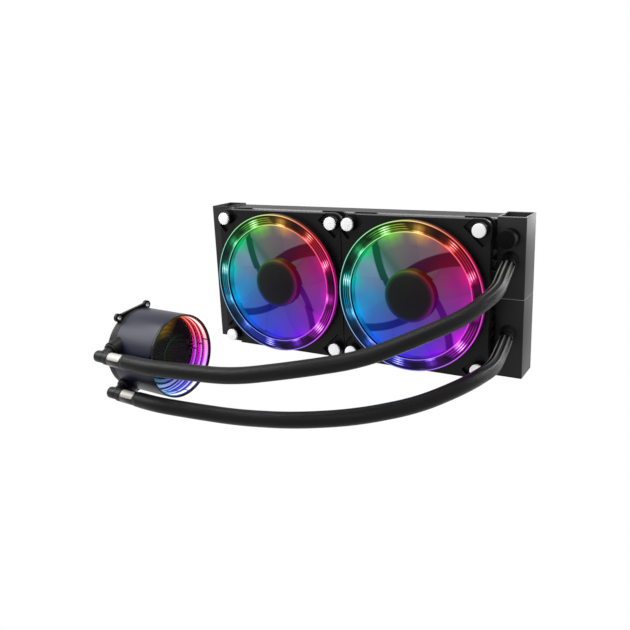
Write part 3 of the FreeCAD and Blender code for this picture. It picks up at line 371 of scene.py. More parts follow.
class Shader:
    """A small builder of the nodes of a material or a world."""

    def __init__(self, name, world=False):
        self.owner = (bpy.data.worlds if world else bpy.data.materials).new(name)
        self.owner.use_nodes = True
        self.tree = self.owner.node_tree
        self.tree.nodes.clear()
        self.output = self.node("ShaderNodeOutputWorld" if world else "ShaderNodeOutputMaterial")

    def node(self, kind, **settings):
        node = self.tree.nodes.new(kind)
        for key, value in settings.items():
            setattr(node, key, value)
        return node

    def feed(self, socket, value):
        if isinstance(value, bpy.types.NodeSocket):
            self.tree.links.new(value, socket)
        else:
            socket.default_value = value

    def math(self, operation, first, second=0.0):
        node = self.node("ShaderNodeMath", operation=operation)
        self.feed(node.inputs[0], first)
        self.feed(node.inputs[1], second)
        return node.outputs[0]

    def chain(self, operation, values):
        total = values[0]
        for value in values[1:]:
            total = self.math(operation, total, value)
        return total

    def add(self, *values):
        return self.chain("ADD", values)

    def mul(self, *values):
        return self.chain("MULTIPLY", values)

    def sub(self, first, second):
        return self.math("SUBTRACT", first, second)

    def div(self, first, second):
        return self.math("DIVIDE", first, second)

    def least(self, first, second):
        return self.math("MINIMUM", first, second)

    def most(self, first, second):
        return self.math("MAXIMUM", first, second)

    def fract(self, value):
        return self.math("FRACT", value)

    def away(self, value, centre):
        """How far a value is from a centre, on either side."""
        return self.math("ABSOLUTE", self.sub(value, centre))

    def share(self, value):
        """A value kept from 0 to 1."""
        return self.least(self.most(value, 0.0), 1.0)

    def coordinates(self, anchor=None):
        node = self.node("ShaderNodeTexCoord")
        node.object = anchor
        return node.outputs["Object"]

    def split(self, vector):
        node = self.node("ShaderNodeSeparateXYZ")
        self.feed(node.inputs[0], vector)
        return node.outputs[0], node.outputs[1], node.outputs[2]

    def polar(self, anchor=None):
        """Radius in millimetres, turn from 0 to 1 against the clock from +X, and height in millimetres."""
        x, y, z = self.split(self.coordinates(anchor))
        squares = self.add(self.mul(x, x), self.mul(y, y))
        radius = self.mul(self.math("SQRT", squares), 1000.0)
        turn = self.div(self.math("ARCTAN2", y, x), 2 * math.pi)
        turn = self.fract(self.add(turn, 1.0))
        return radius, turn, self.mul(z, 1000.0)

    def ramp(self, factor, stops, interpolation="LINEAR"):
        node = self.node("ShaderNodeValToRGB")
        node.color_ramp.interpolation = interpolation
        elements = node.color_ramp.elements
        while len(elements) > 1:
            elements.remove(elements[-1])
        elements[0].position, elements[0].color = stops[0]
        for position, colour in stops[1:]:
            elements.new(position).color = colour
        self.feed(node.inputs[0], factor)
        return node.outputs[0]

    def hues(self, turn, table):
        """The colours of a table of degrees and screen colours."""
        return self.ramp(turn, [(angle / 360.0, rgb(*colour)) for angle, colour in table])

    def level(self, factor, stops, interpolation="LINEAR"):
        """A ramp of grey levels."""
        return self.ramp(factor, [(at, (value, value, value, 1.0)) for at, value in stops], interpolation)

    def mix(self, factor, first, second, blend="MIX"):
        node = self.node("ShaderNodeMix", data_type="RGBA", blend_type=blend)
        self.feed(node.inputs["Factor"], factor)
        self.feed(node.inputs[6], first)
        self.feed(node.inputs[7], second)
        return node.outputs[2]

    def noise(self, scale, detail=3.0, rough=0.55, vector=None):
        node = self.node("ShaderNodeTexNoise")
        node.inputs["Scale"].default_value = scale
        node.inputs["Detail"].default_value = detail
        node.inputs["Roughness"].default_value = rough
        self.feed(node.inputs["Vector"], self.coordinates() if vector is None else vector)
        return node.outputs["Fac"]

    def bump(self, height, strength, distance):
        node = self.node("ShaderNodeBump")
        node.inputs["Strength"].default_value = strength
        node.inputs["Distance"].default_value = distance
        self.feed(node.inputs["Height"], height)
        return node.outputs["Normal"]

    def surface(self, **inputs):
        node = self.node("ShaderNodeBsdfPrincipled")
        for name, value in inputs.items():
            self.feed(node.inputs[name.replace("_", " ")], value)
        return node.outputs[0]

    def coloured(self, kind, colour):
        """A shader node with nothing set but its colour."""
        node = self.node(kind)
        node.inputs["Color"].default_value = colour
        return node

    def blend(self, factor, first, second):
        node = self.node("ShaderNodeMixShader")
        for socket, value in zip(node.inputs, (factor, first, second)):
            self.feed(socket, value)
        return node.outputs[0]

    def looking(self):
        """1 for rays that look at the background: straight, in a gloss or through glass."""
        path = self.node("ShaderNodeLightPath")
        direct = self.most(path.outputs["Is Camera Ray"], path.outputs["Is Glossy Ray"])
        return self.most(direct, path.outputs["Is Transmission Ray"])

    def lit(self, base, colour, strength, rough, specular=0.5, grain=None):
        """A dark finish that carries light; its grain is a scale and a depth."""
        relief = {"Normal": self.bump(self.noise(grain[0]), grain[1], 0.0001)} if grain else {}
        return self.finished(
            Base_Color=rgb(*base), Roughness=rough, Specular_IOR_Level=specular,
            Emission_Color=colour, Emission_Strength=strength, **relief,
        )

    def done(self, socket):
        self.feed(self.output.inputs["Surface"], socket)
        return self.owner

    def finished(self, **inputs):
        """The material with one principled surface."""
        return self.done(self.surface(**inputs))


def grained(name, colour, rough, metal=0.0, grain=900.0, depth=0.05, spread=0.08, coat=0.0, specular=0.5):
    """A plain finish with fine grain, slight wear in its gloss and soft unevenness in its colour."""
    s = Shader(name)
    fine = s.noise(grain)
    broad = s.noise(28.0, 4.0)
    lighter = tuple(min(1.0, part * 1.35 + 0.004) for part in colour[:3]) + (1.0,)
    base = s.mix(s.level(broad, [(0.35, 0.0), (0.7, 0.6)]), colour, lighter)
    gloss = s.add(s.mul(broad, spread), rough - spread / 2)
    return s.finished(
        Base_Color=base,
        Roughness=gloss,
        Metallic=metal,
        Normal=s.bump(fine, depth, 0.0002),
        Coat_Weight=coat,
        Specular_IOR_Level=specular,
    )


# Colours round a fan, by degrees against the clock from three o'clock
FAN_HUES = [
    (0, (225, 10, 185)), (20, (255, 0, 135)), (46, (245, 28, 22)), (64, (225, 80, 25)),
    (78, (255, 175, 60)), (108, (120, 215, 50)), (138, (0, 205, 105)), (170, (10, 185, 180)),
    (200, (0, 170, 240)), (230, (20, 100, 250)), (261, (60, 50, 240)), (291, (130, 20, 245)),
    (321, (225, 25, 245)), (360, (225, 10, 185)),
]

# Colours of the light that lies on the blades, duller than the ring's
BLADE_HUES = [
    (0, (136, 40, 132)), (20, (146, 30, 112)), (42, (124, 40, 78)), (60, (112, 86, 96)),
    (90, (104, 92, 100)), (112, (98, 104, 98)), (128, (64, 104, 92)), (146, (108, 146, 160)),
    (165, (98, 130, 164)), (188, (52, 132, 184)), (212, (58, 104, 178)), (240, (62, 78, 186)),
    (268, (76, 66, 196)), (290, (92, 52, 184)), (318, (118, 42, 164)), (340, (124, 44, 150)),
    (360, (136, 40, 132)),
]

# Colours of the struts' shadows on the blades
STRUT_HUES = [
    (0, (74, 0, 92)), (30, (110, 6, 34)), (60, (66, 0, 34)), (100, (44, 12, 50)), (128, (0, 84, 48)),
    (160, (0, 56, 56)), (205, (0, 60, 130)), (235, (14, 26, 116)), (280, (40, 8, 110)),
    (310, (80, 0, 128)), (360, (74, 0, 92)),
]


def lamp_spots(s, turn, first, width):
    """Bright spots at the fan's lamps: 1 on a lamp, 0 between two."""
    offset = s.sub(s.mul(turn, float(FAN_LAMPS)), first * FAN_LAMPS / 360.0)
    near = s.away(s.fract(s.add(offset, 100.5)), 0.5)
    return s.level(near, [(0.0, 1.0), (width * 0.35, 0.65), (width, 0.0)], "EASE")


def band(s, value, centre, half, soft):
    """1 within half of centre, falling to 0 over a soft edge."""
    return s.share(s.div(s.sub(half + soft, s.away(value, centre)), soft))


def light_ring_material():
    """A dark mirror ring with lit edges, sets of fine lit lines and a glare at each lamp."""
    s = Shader("light_ring")
    radius, turn, _ = s.polar()
    hue = s.hues(turn, FAN_HUES)
    spots = lamp_spots(s, turn, 20.5, 0.22)
    middle = 53.4
    edge = band(s, radius, 58.15, 0.25, 0.25)
    inner = band(s, radius, 49.75, 0.28, 0.25)
    shelf = band(s, radius, 50.7, 0.5, 0.5)
    lines = []
    for index, at in enumerate((52.2, 53.9, 55.6)):
        offset = s.fract(s.add(s.mul(turn, 5.0), 0.77 - 0.02 * index))
        shown = s.level(offset, [(0.0, 0.0), (0.05, 1.0), (0.42, 1.0), (0.52, 0.0)])
        lines.append(s.mul(band(s, radius, at, 0.24, 0.2), shown))
    fine = s.add(*lines)
    wash = s.mul(band(s, radius, middle, 1.0, 2.8), spots)
    broad = s.mul(band(s, radius, middle, 1.6, 3.0), lamp_spots(s, turn, 20.5, 0.5))
    strength = s.add(
        s.mul(edge, 1.15),
        inner,
        s.mul(shelf, s.add(s.mul(spots, 1.15), 0.15)),
        s.mul(fine, s.add(s.mul(spots, 1.2), 0.55)),
        s.mul(wash, 0.4),
        s.mul(broad, 0.1),
        0.02,
    )
    white = s.mul(spots, s.add(s.mul(fine, 0.4), s.mul(shelf, 0.15), s.mul(wash, 0.05)))
    cool = s.level(turn, [(0.0, 0.03), (0.15, 0.12), (0.25, 0.26), (0.7, 0.26), (0.85, 0.1), (1.0, 0.03)])
    rims = s.mul(s.add(edge, inner), cool)
    paler = s.least(s.add(rims, white), 0.7)
    colour = s.mix(paler, hue, WHITE)
    return s.lit((6, 6, 9), colour, strength, rough=0.16, specular=0.08, grain=(400.0, 0.02))


def strut_circle():
    """The circle that the struts' middle lines follow: its centre and radius."""
    bow = 3.0
    hub, rim = (
        Vector(polar(reach, math.radians(angle)))
        for reach, angle in ((18.5, 79.0), (53.9, 31.0))
    )
    along = (rim - hub).normalized()
    chord = (rim - hub).length / 2
    radius = (chord ** 2 + bow ** 2) / (2 * bow)
    side = Vector((-along.y, along.x))
    return (hub + rim) / 2 + side * (bow - radius), radius


def strut_shade(s, radius, turn):
    """Painted shadow of the struts behind the blades, darkening them: four curved arms, the first one wide.

    The shade is turned by 4 degrees from the struts' own place, as the photograph shows it.
    """
    centre, bend = strut_circle()
    start = 10.0
    turn = s.sub(turn, 4.0 / 360.0)
    quarter = s.mul(s.sub(turn, start / 360.0), 4.0)
    folded = s.fract(s.add(quarter, 1.0))
    angle = s.add(s.mul(folded, math.pi / 2), math.radians(start))
    x = s.sub(s.mul(radius, s.math("COSINE", angle)), centre.x)
    y = s.sub(s.mul(radius, s.math("SINE", angle)), centre.y)
    reach = s.math("SQRT", s.add(s.mul(x, x), s.mul(y, y)))
    away = s.away(reach, bend)
    first = s.math("LESS_THAN", s.fract(s.add(turn, 1.0 - start / 360.0)), 0.25)
    half = s.add(s.mul(first, WIDE_STRUT_HALF - STRUT_HALF), STRUT_HALF)
    return s.share(s.sub(s.add(half, 0.5), away))


def blade_edge_shade_and_highlight(s, radius, turn):
    """Painted shade and highlight: each blade is a little darker where the next one's leading edge shades
    it, and that edge is lighter, a painted highlight.
    """
    lean = s.mul(s.sub(radius, BLADE_ROOT), BLADE_SWEEP / 29.0 / 360.0)
    across = s.sub(s.sub(turn, 33.5 / 360.0), lean)
    part = s.fract(s.add(s.mul(across, float(BLADES)), float(BLADES)))
    return s.level(part, [(0.0, 0.95), (0.15, 0.98), (0.5, 1.0), (0.97, 1.02), (1.0, 1.05)])


def blade_material(anchor):
    """Milky plastic with the ring's light painted on as a glow, and the struts behind it painted on as
    shade.
    """
    s = Shader("blade_milky")
    radius, turn, _ = s.polar(anchor)
    hue = s.hues(turn, FAN_HUES)
    body = s.hues(turn, BLADE_HUES)
    grey = s.mix(0.5, rgb(76, 72, 88), body)
    part = s.div(radius, FAN_DUCT)
    # Painted light: the ring's colours lie more strongly on the blades towards the rim, greyer near the hub
    colour = s.mix(s.level(part, [(0.4, 0.0), (0.72, 1.0)]), grey, body)
    # Painted shade and highlight across each blade
    colour = s.mix(1.0, colour, blade_edge_shade_and_highlight(s, radius, turn), "MULTIPLY")
    # Painted glow near the rim, strongest at each lamp
    spots = lamp_spots(s, turn, 21.0, 0.5)
    rim = s.level(part, [(0.76, 0.0), (0.9, 0.35), (0.99, 1.0)])
    glow = s.mul(rim, s.add(s.mul(spots, 0.9), 0.2))
    colour = s.mix(s.least(glow, 1.0), colour, hue)
    # Painted shadow: the struts behind the blades are drawn as dark, tinted arms on the blades' colour
    shade = strut_shade(s, radius, turn)
    dark = s.mix(0.03, s.hues(turn, STRUT_HUES), colour)
    colour = s.mix(s.mul(shade, 0.98), colour, dark)
    return s.lit((5, 5, 7), colour, 1.0, rough=0.35, specular=0.03, grain=(500.0, 0.03))


def duct_glow_material():
    """The ring's light on the duct's inner wall, fading with depth."""
    s = Shader("duct_glow")
    _, turn, height = s.polar()
    hue = s.hues(turn, FAN_HUES)
    spots = lamp_spots(s, turn, 21.0, 0.5)
    deep = s.level(s.div(height, RING_SEAT), [(0.1, 0.05), (0.5, 0.6), (0.8, 1.0)])
    return s.lit(
        (16, 16, 18), hue, s.mul(deep, s.add(s.mul(spots, 0.45), 0.35)), rough=0.4, grain=(500.0, 0.03),
    )


def hub_material(anchor):
    """A dark smoked cup whose rim catches the ring's light."""
    s = Shader("hub_smoked")
    radius, turn, _ = s.polar(anchor)
    body = s.hues(turn, FAN_HUES)
    part = s.div(radius, HUB)
    rim = s.level(part, [(0.0, 0.002), (0.78, 0.004), (0.88, 0.04), (0.95, 0.14), (0.98, 0.2), (1.0, 0.08)])
    return s.lit((4, 4, 6), body, rim, rough=0.55, specular=0.15, grain=(700.0, 0.03))


# Colours round the pump head's face, by degrees from its top towards the front side
FACE_HUES = [
    (0, (250, 190, 40)), (60, (70, 150, 30)), (120, (10, 180, 185)), (150, (10, 170, 235)),
    (178, (40, 90, 250)), (205, (90, 80, 240)), (232, (165, 20, 240)), (262, (225, 0, 210)),
    (282, (225, 0, 90)), (298, (240, 0, 15)), (318, (245, 40, 5)), (340, (245, 130, 10)),
    (360, (250, 190, 40)),
]


def mirror_wall_material():
    """The mirrored wall behind the face: the lit ring seen again and again, dimmer with each step."""
    s = Shader("mirror_wall")
    radius, turn, height = s.polar()
    hue = s.hues(turn, FACE_HUES)
    pitch, kept = 5.7, 0.78
    step = s.div(s.sub(SHELL_TOP, height), pitch)
    within = s.fract(step)
    depth = s.math("FLOOR", step)
    fall = s.math("POWER", kept, depth)
    deeper = s.least(depth, 1.0)
    narrow = s.level(within, [(0.0, 0.0), (0.06, 1.0), (0.2, 1.0), (0.3, 0.0)])
    wide = s.level(within, [(0.0, 0.9), (0.1, 1.0), (0.45, 1.0), (0.62, 0.0)])
    hot = s.add(s.mul(wide, s.sub(1.0, deeper)), s.mul(narrow, deeper))
    tint = s.level(within, [(0.0, 1.0), (0.42, 0.95), (0.74, 0.75), (0.86, 0.1), (0.96, 0.04), (1.0, 0.5)])
    shifted = s.mul(depth, 0.1)
    brick = s.fract(s.add(s.mul(turn, 4.0), s.add(shifted, 0.92)))
    gap = s.level(brick, [(0.0, 0.08), (0.018, 0.08), (0.03, 1.0)])
    side = s.level(turn, [
        (0.0, 0.25), (0.08, 0.1), (0.24, 0.15), (0.32, 0.9), (0.62, 1.0), (0.78, 0.9), (0.9, 1.0),
        (0.97, 0.8), (1.0, 0.25),
    ])
    strength = s.mul(s.mul(tint, fall), s.mul(gap, side))
    pale = s.level(turn, [
        (0.0, 0.8), (0.1, 0.1), (0.36, 0.9), (0.5, 1.0), (0.6, 0.75), (0.68, 0.3), (0.76, 0.35),
        (0.86, 1.0), (1.0, 0.8),
    ])
    white = s.mul(hot, s.mul(pale, fall))
    colour = s.mix(white, hue, WHITE)
    return s.lit((8, 8, 10), colour, s.mul(strength, 1.3), rough=0.2, specular=0.2)


# The weaker colours that the far mirror gives back
FLOOR_HUES = [
    (0, (190, 150, 20)), (40, (120, 150, 20)), (90, (30, 130, 30)), (170, (10, 90, 80)),
    (250, (30, 10, 60)), (320, (160, 90, 10)), (360, (190, 150, 20)),
]


def mirror_floor_material():
    """The dark far mirror, with faint rings of the light it gives back."""
    s = Shader("mirror_floor")
    radius, turn, _ = s.polar()
    hue = s.hues(turn, FLOOR_HUES)
    outer = s.mul(band(s, radius, 27.4, 0.6, 1.2), 0.06)
    streak = s.level(turn, [(0.0, 1.0), (0.05, 0.6), (0.14, 0.12), (0.25, 0.0), (0.9, 0.0), (1.0, 1.0)])
    rings = s.level(s.fract(s.div(radius, 3.1)), [(0.0, 1.0), (0.5, 0.25), (1.0, 1.0)])
    reach = s.level(s.div(radius, 28.0), [(0.35, 0.0), (0.8, 0.9)])
    fan = s.mul(streak, s.mul(rings, reach))
    low = s.level(turn, [(0.34, 0.0), (0.41, 0.7), (0.47, 1.0), (0.56, 0.8), (0.66, 0.0)])
    row = s.level(s.fract(s.div(radius, 3.9)), [
        (0.0, 0.1), (0.12, 1.0), (0.5, 1.0), (0.72, 0.25), (0.82, 0.04), (1.0, 0.1),
    ])
    near = s.level(s.div(radius, 28.0), [(0.5, 0.0), (0.7, 0.3), (0.95, 1.0)])
    rows = s.mul(low, s.mul(row, near))
    lit = s.mix(s.mul(rows, 0.45), s.hues(turn, FACE_HUES), WHITE)
    hue = s.mix(s.least(s.mul(rows, 8.0), 1.0), hue, lit)
    return s.lit((3, 3, 3), hue, s.add(outer, fan, rows), rough=0.35, specular=0.02)


def glass_material():
    """Half-mirror glass: mostly clear, with a faint even reflection."""
    s = Shader("face_glass")
    clear = s.node("ShaderNodeBsdfTransparent")
    gloss = s.coloured("ShaderNodeBsdfGlossy", (0.8, 0.82, 0.85, 1.0))
    gloss.inputs["Roughness"].default_value = 0.04
    return s.done(s.blend(0.006, clear.outputs[0], gloss.outputs[0]))


def face_arc_material():
    """A faint green line of light behind the glass, fading at both ends."""
    s = Shader("face_arc")
    _, turn, _ = s.polar()
    seen = s.level(turn, [(0.0, 0.5), (0.08, 1.0), (0.2, 0.8), (0.36, 0.0), (0.94, 0.0), (1.0, 0.5)])
    return s.lit((2, 2, 2), rgb(20, 130, 30), s.mul(seen, 0.2), rough=0.6, specular=0.02)


def face_arc():
    """The arc itself: a thin strip with a square section, a little behind the glass."""
    vertices = []
    for step in range(ARC_STEPS + 1):
        turn = math.radians(-20.0 + 150.0 * step / ARC_STEPS)
        for radius, height in ring_outline(15.4, 14.9, 43.5, 43.7):
            vertices.append((*polar(radius, turn), height))
    last = 4 * ARC_STEPS
    faces = [(3, 2, 1, 0), (last, last + 1, last + 2, last + 3)]
    for step in range(ARC_STEPS):
        for corner in range(4):
            a = 4 * step + corner
            b = 4 * step + (corner + 1) % 4
            faces.append((a, b, b + 4, a + 4))
    mesh = clean(new_mesh("face_arc", vertices, faces))
    finish_object(mesh, PUMP_PLACE, "mirror", finishes=[face_arc_material()])


def shell_material():
    """Dark blue-black satin paint with a fine turned grain."""
    s = Shader("shell_satin")
    _, turn, height = s.polar()
    grain = s.node("ShaderNodeCombineXYZ")
    s.feed(grain.inputs[0], s.mul(turn, 6.0))
    s.feed(grain.inputs[2], s.mul(height, 2.0))
    lines = s.noise(12.0, 4.0, 0.6, grain.outputs[0])
    return s.finished(
        Base_Color=rgb(10, 13, 38),
        Metallic=0.1,
        Roughness=s.add(s.mul(lines, 0.06), 0.34),
        Specular_IOR_Level=0.3,
        Normal=s.bump(lines, 0.04, 0.0001),
    )


def weave_material():
    """A braided black sleeve: slanting strands over and under each other, drawn into pleats at the tank,
    with painted highlights on the pleats' ridges and painted shade in their folds.
    """
    s = Shader("hose_weave")
    node = s.node("ShaderNodeUVMap", uv_map="weave")
    u, v, _ = s.split(node.outputs[0])
    first = s.fract(s.add(s.mul(u, STRANDS), v))
    second = s.fract(s.sub(s.mul(u, STRANDS), v))
    over = s.away(first, 0.5)
    under = s.away(second, 0.5)
    check = s.mul(s.sub(over, 0.25), s.sub(under, 0.25))
    woven = s.add(s.mul(check, 8.0), 0.5)
    base = s.mix(s.level(woven, [(0.15, 0.0), (0.85, 1.0)]), rgb(1, 1, 1), rgb(24, 24, 25))
    fold = s.math("ABSOLUTE", s.math("SINE", s.mul(u, math.pi * PLEATS)))
    near = s.level(s.div(v, 60.0), [(0.0, 1.0), (0.4, 0.8), (0.75, 0.0)])
    # Painted highlight and shade on the pleats: light grey ridges and black folds, fading out along the
    # hose
    pleated = s.ramp(fold, [
        (0.0, rgb(0, 0, 0)), (0.6, rgb(4, 4, 4)), (0.85, rgb(60, 60, 60)), (1.0, rgb(140, 140, 138)),
    ])
    base = s.mix(s.mul(near, 0.9), base, pleated)
    return s.finished(
        Base_Color=base,
        Roughness=s.level(woven, [(0.2, 0.45), (0.7, 0.22)]),
        Specular_IOR_Level=0.14,
        Normal=s.bump(woven, 0.3, 0.0004),
    )


# Plain finishes: screen colour, roughness, metal, the grain's scale and depth, and what else differs
FINISHES = {
    "tank_paint": ((26, 26, 27), 0.4, 0.0, 1200.0, 0.05, {"specular": 0.2}),
    "rail_paint": ((8, 8, 9), 0.4, 0.0, 1200.0, 0.04, {"specular": 0.12}),
    # Light grey for the outlet tank's rim, its seam and the rail bends: a painted highlight along those
    # edges
    "painted_edge_highlight": ((118, 118, 120), 0.4, 0.0, 1200.0, 0.04, {}),
    "core_paint": ((8, 8, 9), 0.4, 0.0, 900.0, 0.04, {"specular": 0.15}),
    "bare_aluminium": ((190, 192, 196), 0.3, 0.9, 900.0, 0.03, {}),
    "cap_plastic": ((2, 2, 3), 0.5, 0.0, 1500.0, 0.06, {"specular": 0.06}),
    "frame_plastic": ((12, 12, 13), 0.36, 0.0, 1500.0, 0.06, {"specular": 0.15}),
    "seal_rubber": ((8, 8, 8), 0.7, 0.0, 900.0, 0.05, {}),
    "pad_rubber": ((246, 246, 246), 0.6, 0.0, 1500.0, 0.02, {}),
    "board_green": ((20, 60, 36), 0.4, 0.0, 700.0, 0.04, {}),
    "steel": ((96, 96, 98), 0.34, 0.9, 900.0, 0.03, {}),
    "magnet": ((30, 30, 30), 0.6, 0.0, 900.0, 0.06, {}),
    "bronze": ((150, 116, 70), 0.4, 0.9, 900.0, 0.05, {}),
    "coil_copper": ((168, 92, 50), 0.35, 0.7, 600.0, 0.1, {}),
    "plate_copper": ((196, 120, 84), 0.28, 0.95, 500.0, 0.03, {}),
    "base_plastic": ((12, 12, 14), 0.42, 0.0, 1500.0, 0.06, {"specular": 0.15}),
    "bezel_gloss": ((3, 3, 4), 0.2, 0.0, 900.0, 0.02, {"spread": 0.04, "coat": 0.1, "specular": 0.2}),
    "light_guide": ((220, 220, 224), 0.4, 0.0, 900.0, 0.02, {}),
    "mirror": ((150, 150, 156), 0.1, 1.0, 900.0, 0.01, {"spread": 0.03}),
    "fitting_black": ((7, 7, 8), 0.36, 0.0, 1200.0, 0.03, {"spread": 0.06, "specular": 0.2}),
    "collar_metal": ((44, 44, 45), 0.26, 0.85, 1200.0, 0.03, {}),
}

MATERIALS = {
    "ring_mirror": light_ring_material(),
    "shell_metal": shell_material(),
    "hose_weave": weave_material(),
    "face_glass": glass_material(),
}
for slot, (colour, *values, others) in FINISHES.items():
    MATERIALS[slot] = grained("mirror_back" if slot == "mirror" else slot, rgb(*colour), *values, **others)

# Every node of the part starts in the finish of its slot
for entry in frame["record"]["subparts"]:
    node = frame["nodes"][entry["node"]]
    node.data.materials.clear()
    node.data.materials.append(MATERIALS.get(entry["material_slot"], MATERIALS["frame_plastic"]))


# Hoses


def hose_line(points):
    """The route's line: straight runs joined by arcs, with the same share of each run as in the source."""
    points = [Vector(point) for point in points]
    line = [points[0]]
    for before, corner, after in zip(points, points[1:], points[2:]):
        back = before - corner
        ahead = after - corner
        reach = 0.45 * min(back.length, ahead.length)
        back.normalize()
        ahead.normalize()
        half = (math.pi - back.angle(ahead)) / 2
        radius = reach / math.tan(half)
        toward = (back + ahead).normalized()
        centre = corner + toward * (radius / math.cos(half))
        enter = corner + back * reach
        leave = corner + ahead * reach
        for step in range(17):
            spoke = (enter - centre).slerp(leave - centre, step / 16)
            line.append(centre + spoke.normalized() * radius)
    line.append(points[-1])
    return line


def even_points(line, spacing):
    """Points at even steps along a line."""
    lengths = [0.0]
    for first, second in zip(line, line[1:]):
        lengths.append(lengths[-1] + (second - first).length)
    total = lengths[-1]
    count = max(2, round(total / spacing))
    points = []
    index = 0
    for step in range(count + 1):
        target = total * step / count
        while index < len(lengths) - 2 and lengths[index + 1] < target:
            index += 1
        span = lengths[index + 1] - lengths[index]
        part = (target - lengths[index]) / span if span else 0.0
        points.append(line[index].lerp(line[index + 1], part))
    return points, total


def hose(name, points):
    """A woven tube along its route, drawn into pleats near the tank."""
    line = hose_line(points)
    path, total = even_points(line, 0.002)
    around = 72
    # In metres: how much thinner the hose is over the last few millimetres of each end, and how
    # deep the pleats are over its first run
    squeeze, squeezed = 0.00012, 0.006
    fold, pleated = 0.0005, 0.062
    tangent = (path[1] - path[0]).normalized()
    normal = tangent.orthogonal().normalized()
    vertices = []
    coordinates = []
    for index, point in enumerate(path):
        ahead = path[min(index + 1, len(path) - 1)]
        behind = path[max(index - 1, 0)]
        tangent = (ahead - behind).normalized()
        normal = (normal - tangent * normal.dot(tangent)).normalized()
        side = tangent.cross(normal)
        along = total * index / (len(path) - 1)
        end = min(along, total - along)
        mean = HOSE_RADIUS * MM - squeeze * max(0.0, 1 - end / squeezed)
        pleat = fold * max(0.0, 1 - along / pleated) ** 0.7
        for step in range(around):
            turn = 2 * math.pi * step / around
            radius = mean - pleat * (1 - abs(math.sin(turn * PLEATS / 2))) ** 2 * 1.6
            vertices.append(point + (normal * math.cos(turn) + side * math.sin(turn)) * radius)
        coordinates.append(along / (2 * math.pi * HOSE_RADIUS * MM) * STRANDS)
    mesh = bpy.data.meshes.new(name)
    mesh.from_pydata(vertices, [], tube_faces(len(path), around))
    layer = mesh.uv_layers.new(name="weave")
    for polygon in mesh.polygons:
        for loop, vertex in zip(polygon.loop_indices, polygon.vertices):
            step = vertex % around
            if len(polygon.vertices) == 4 and step == 0 and max(v % around for v in polygon.vertices) > 2:
                step = around
            layer.data[loop].uv = (step / around, coordinates[vertex // around])
    for polygon in mesh.polygons:
        polygon.use_smooth = len(polygon.vertices) == 4
    mesh.materials.append(MATERIALS["hose_weave"])
    obj = new_object("hose_" + name + "_woven", mesh)
    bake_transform(obj)
    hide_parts("hose_" + name)
    return total


HOSE_LENGTHS = {name: hose(name, points) for name, points in ROUTES.items()}


# Fans


def fan_outline():
    """The front plate's edge, with a swallow-tail notch at each corner."""
    corner = [(46.5, 60.0), (39.8, 54.2), (54.2, 39.8), (60.0, 46.5)]
    points = []
    for quarter in range(4):
        points += rotated(corner, -90 * quarter)
    return points


def rounded_square(radius):
    """The fan's square outline with round corners."""
    points = []
    centre = FAN_HALF - radius
    for quarter, (across, up) in enumerate(((1, 1), (-1, 1), (-1, -1), (1, -1))):
        for step in range(9):
            angle = math.radians(90 * quarter) + math.radians(90) * step / 8
            points.append(polar(radius, angle, (centre * across, centre * up)))
    return points


def strut(index):
    """A curved arm from the motor base to the duct, between two arcs about one centre."""
    centre, bend = strut_circle()
    half = STRUT_HALF if index else WIDE_STRUT_HALF
    first = math.atan2(-centre.y, -centre.x)
    ends = []
    # It runs from inside the motor base to inside the duct's wall
    for radius in (18.5, 50.9):
        for step in range(-720, 721):
            turn = first + math.radians(step / 8)
            point = centre + Vector(polar(1.0, turn)) * bend
            if abs(point.length - radius) < 0.1 and 10 < math.degrees(math.atan2(point.y, point.x)) < 100:
                ends.append(turn)
                break
    outline = []
    for reach, order in ((bend + half, range(15)), (bend - half, range(14, -1, -1))):
        for step in order:
            turn = ends[0] + (ends[1] - ends[0]) * step / 14
            outline.append(centre + Vector(polar(1.0, turn)) * reach)
    return slab("strut", [rotated(outline, 90.0 * index)], 0.0, 4.0, 0.3)


def rear_corner(corner):
    """The rear flange at one corner, from the frame's rounded edge to the duct."""
    edge, duct = 36.0, 51.0
    reach = math.sqrt(duct ** 2 - edge ** 2)
    first, last = math.atan2(reach, edge), math.atan2(edge, reach)
    points = [(FAN_HALF, edge)]
    for step in range(9):
        angle = math.radians(90 * step / 8)
        points.append(polar(8.0, angle, (52.0, 52.0)))
    points += [(edge, FAN_HALF), (edge, reach)]
    for step in range(9):
        angle = first + (last - first) * (step / 8)
        points.append(polar(duct, angle))
    points.append((reach, edge))
    points = [(math.copysign(x, corner[0]), math.copysign(y, corner[1])) for x, y in points]
    return [point for index, point in enumerate(points) if point != points[index - 1]]


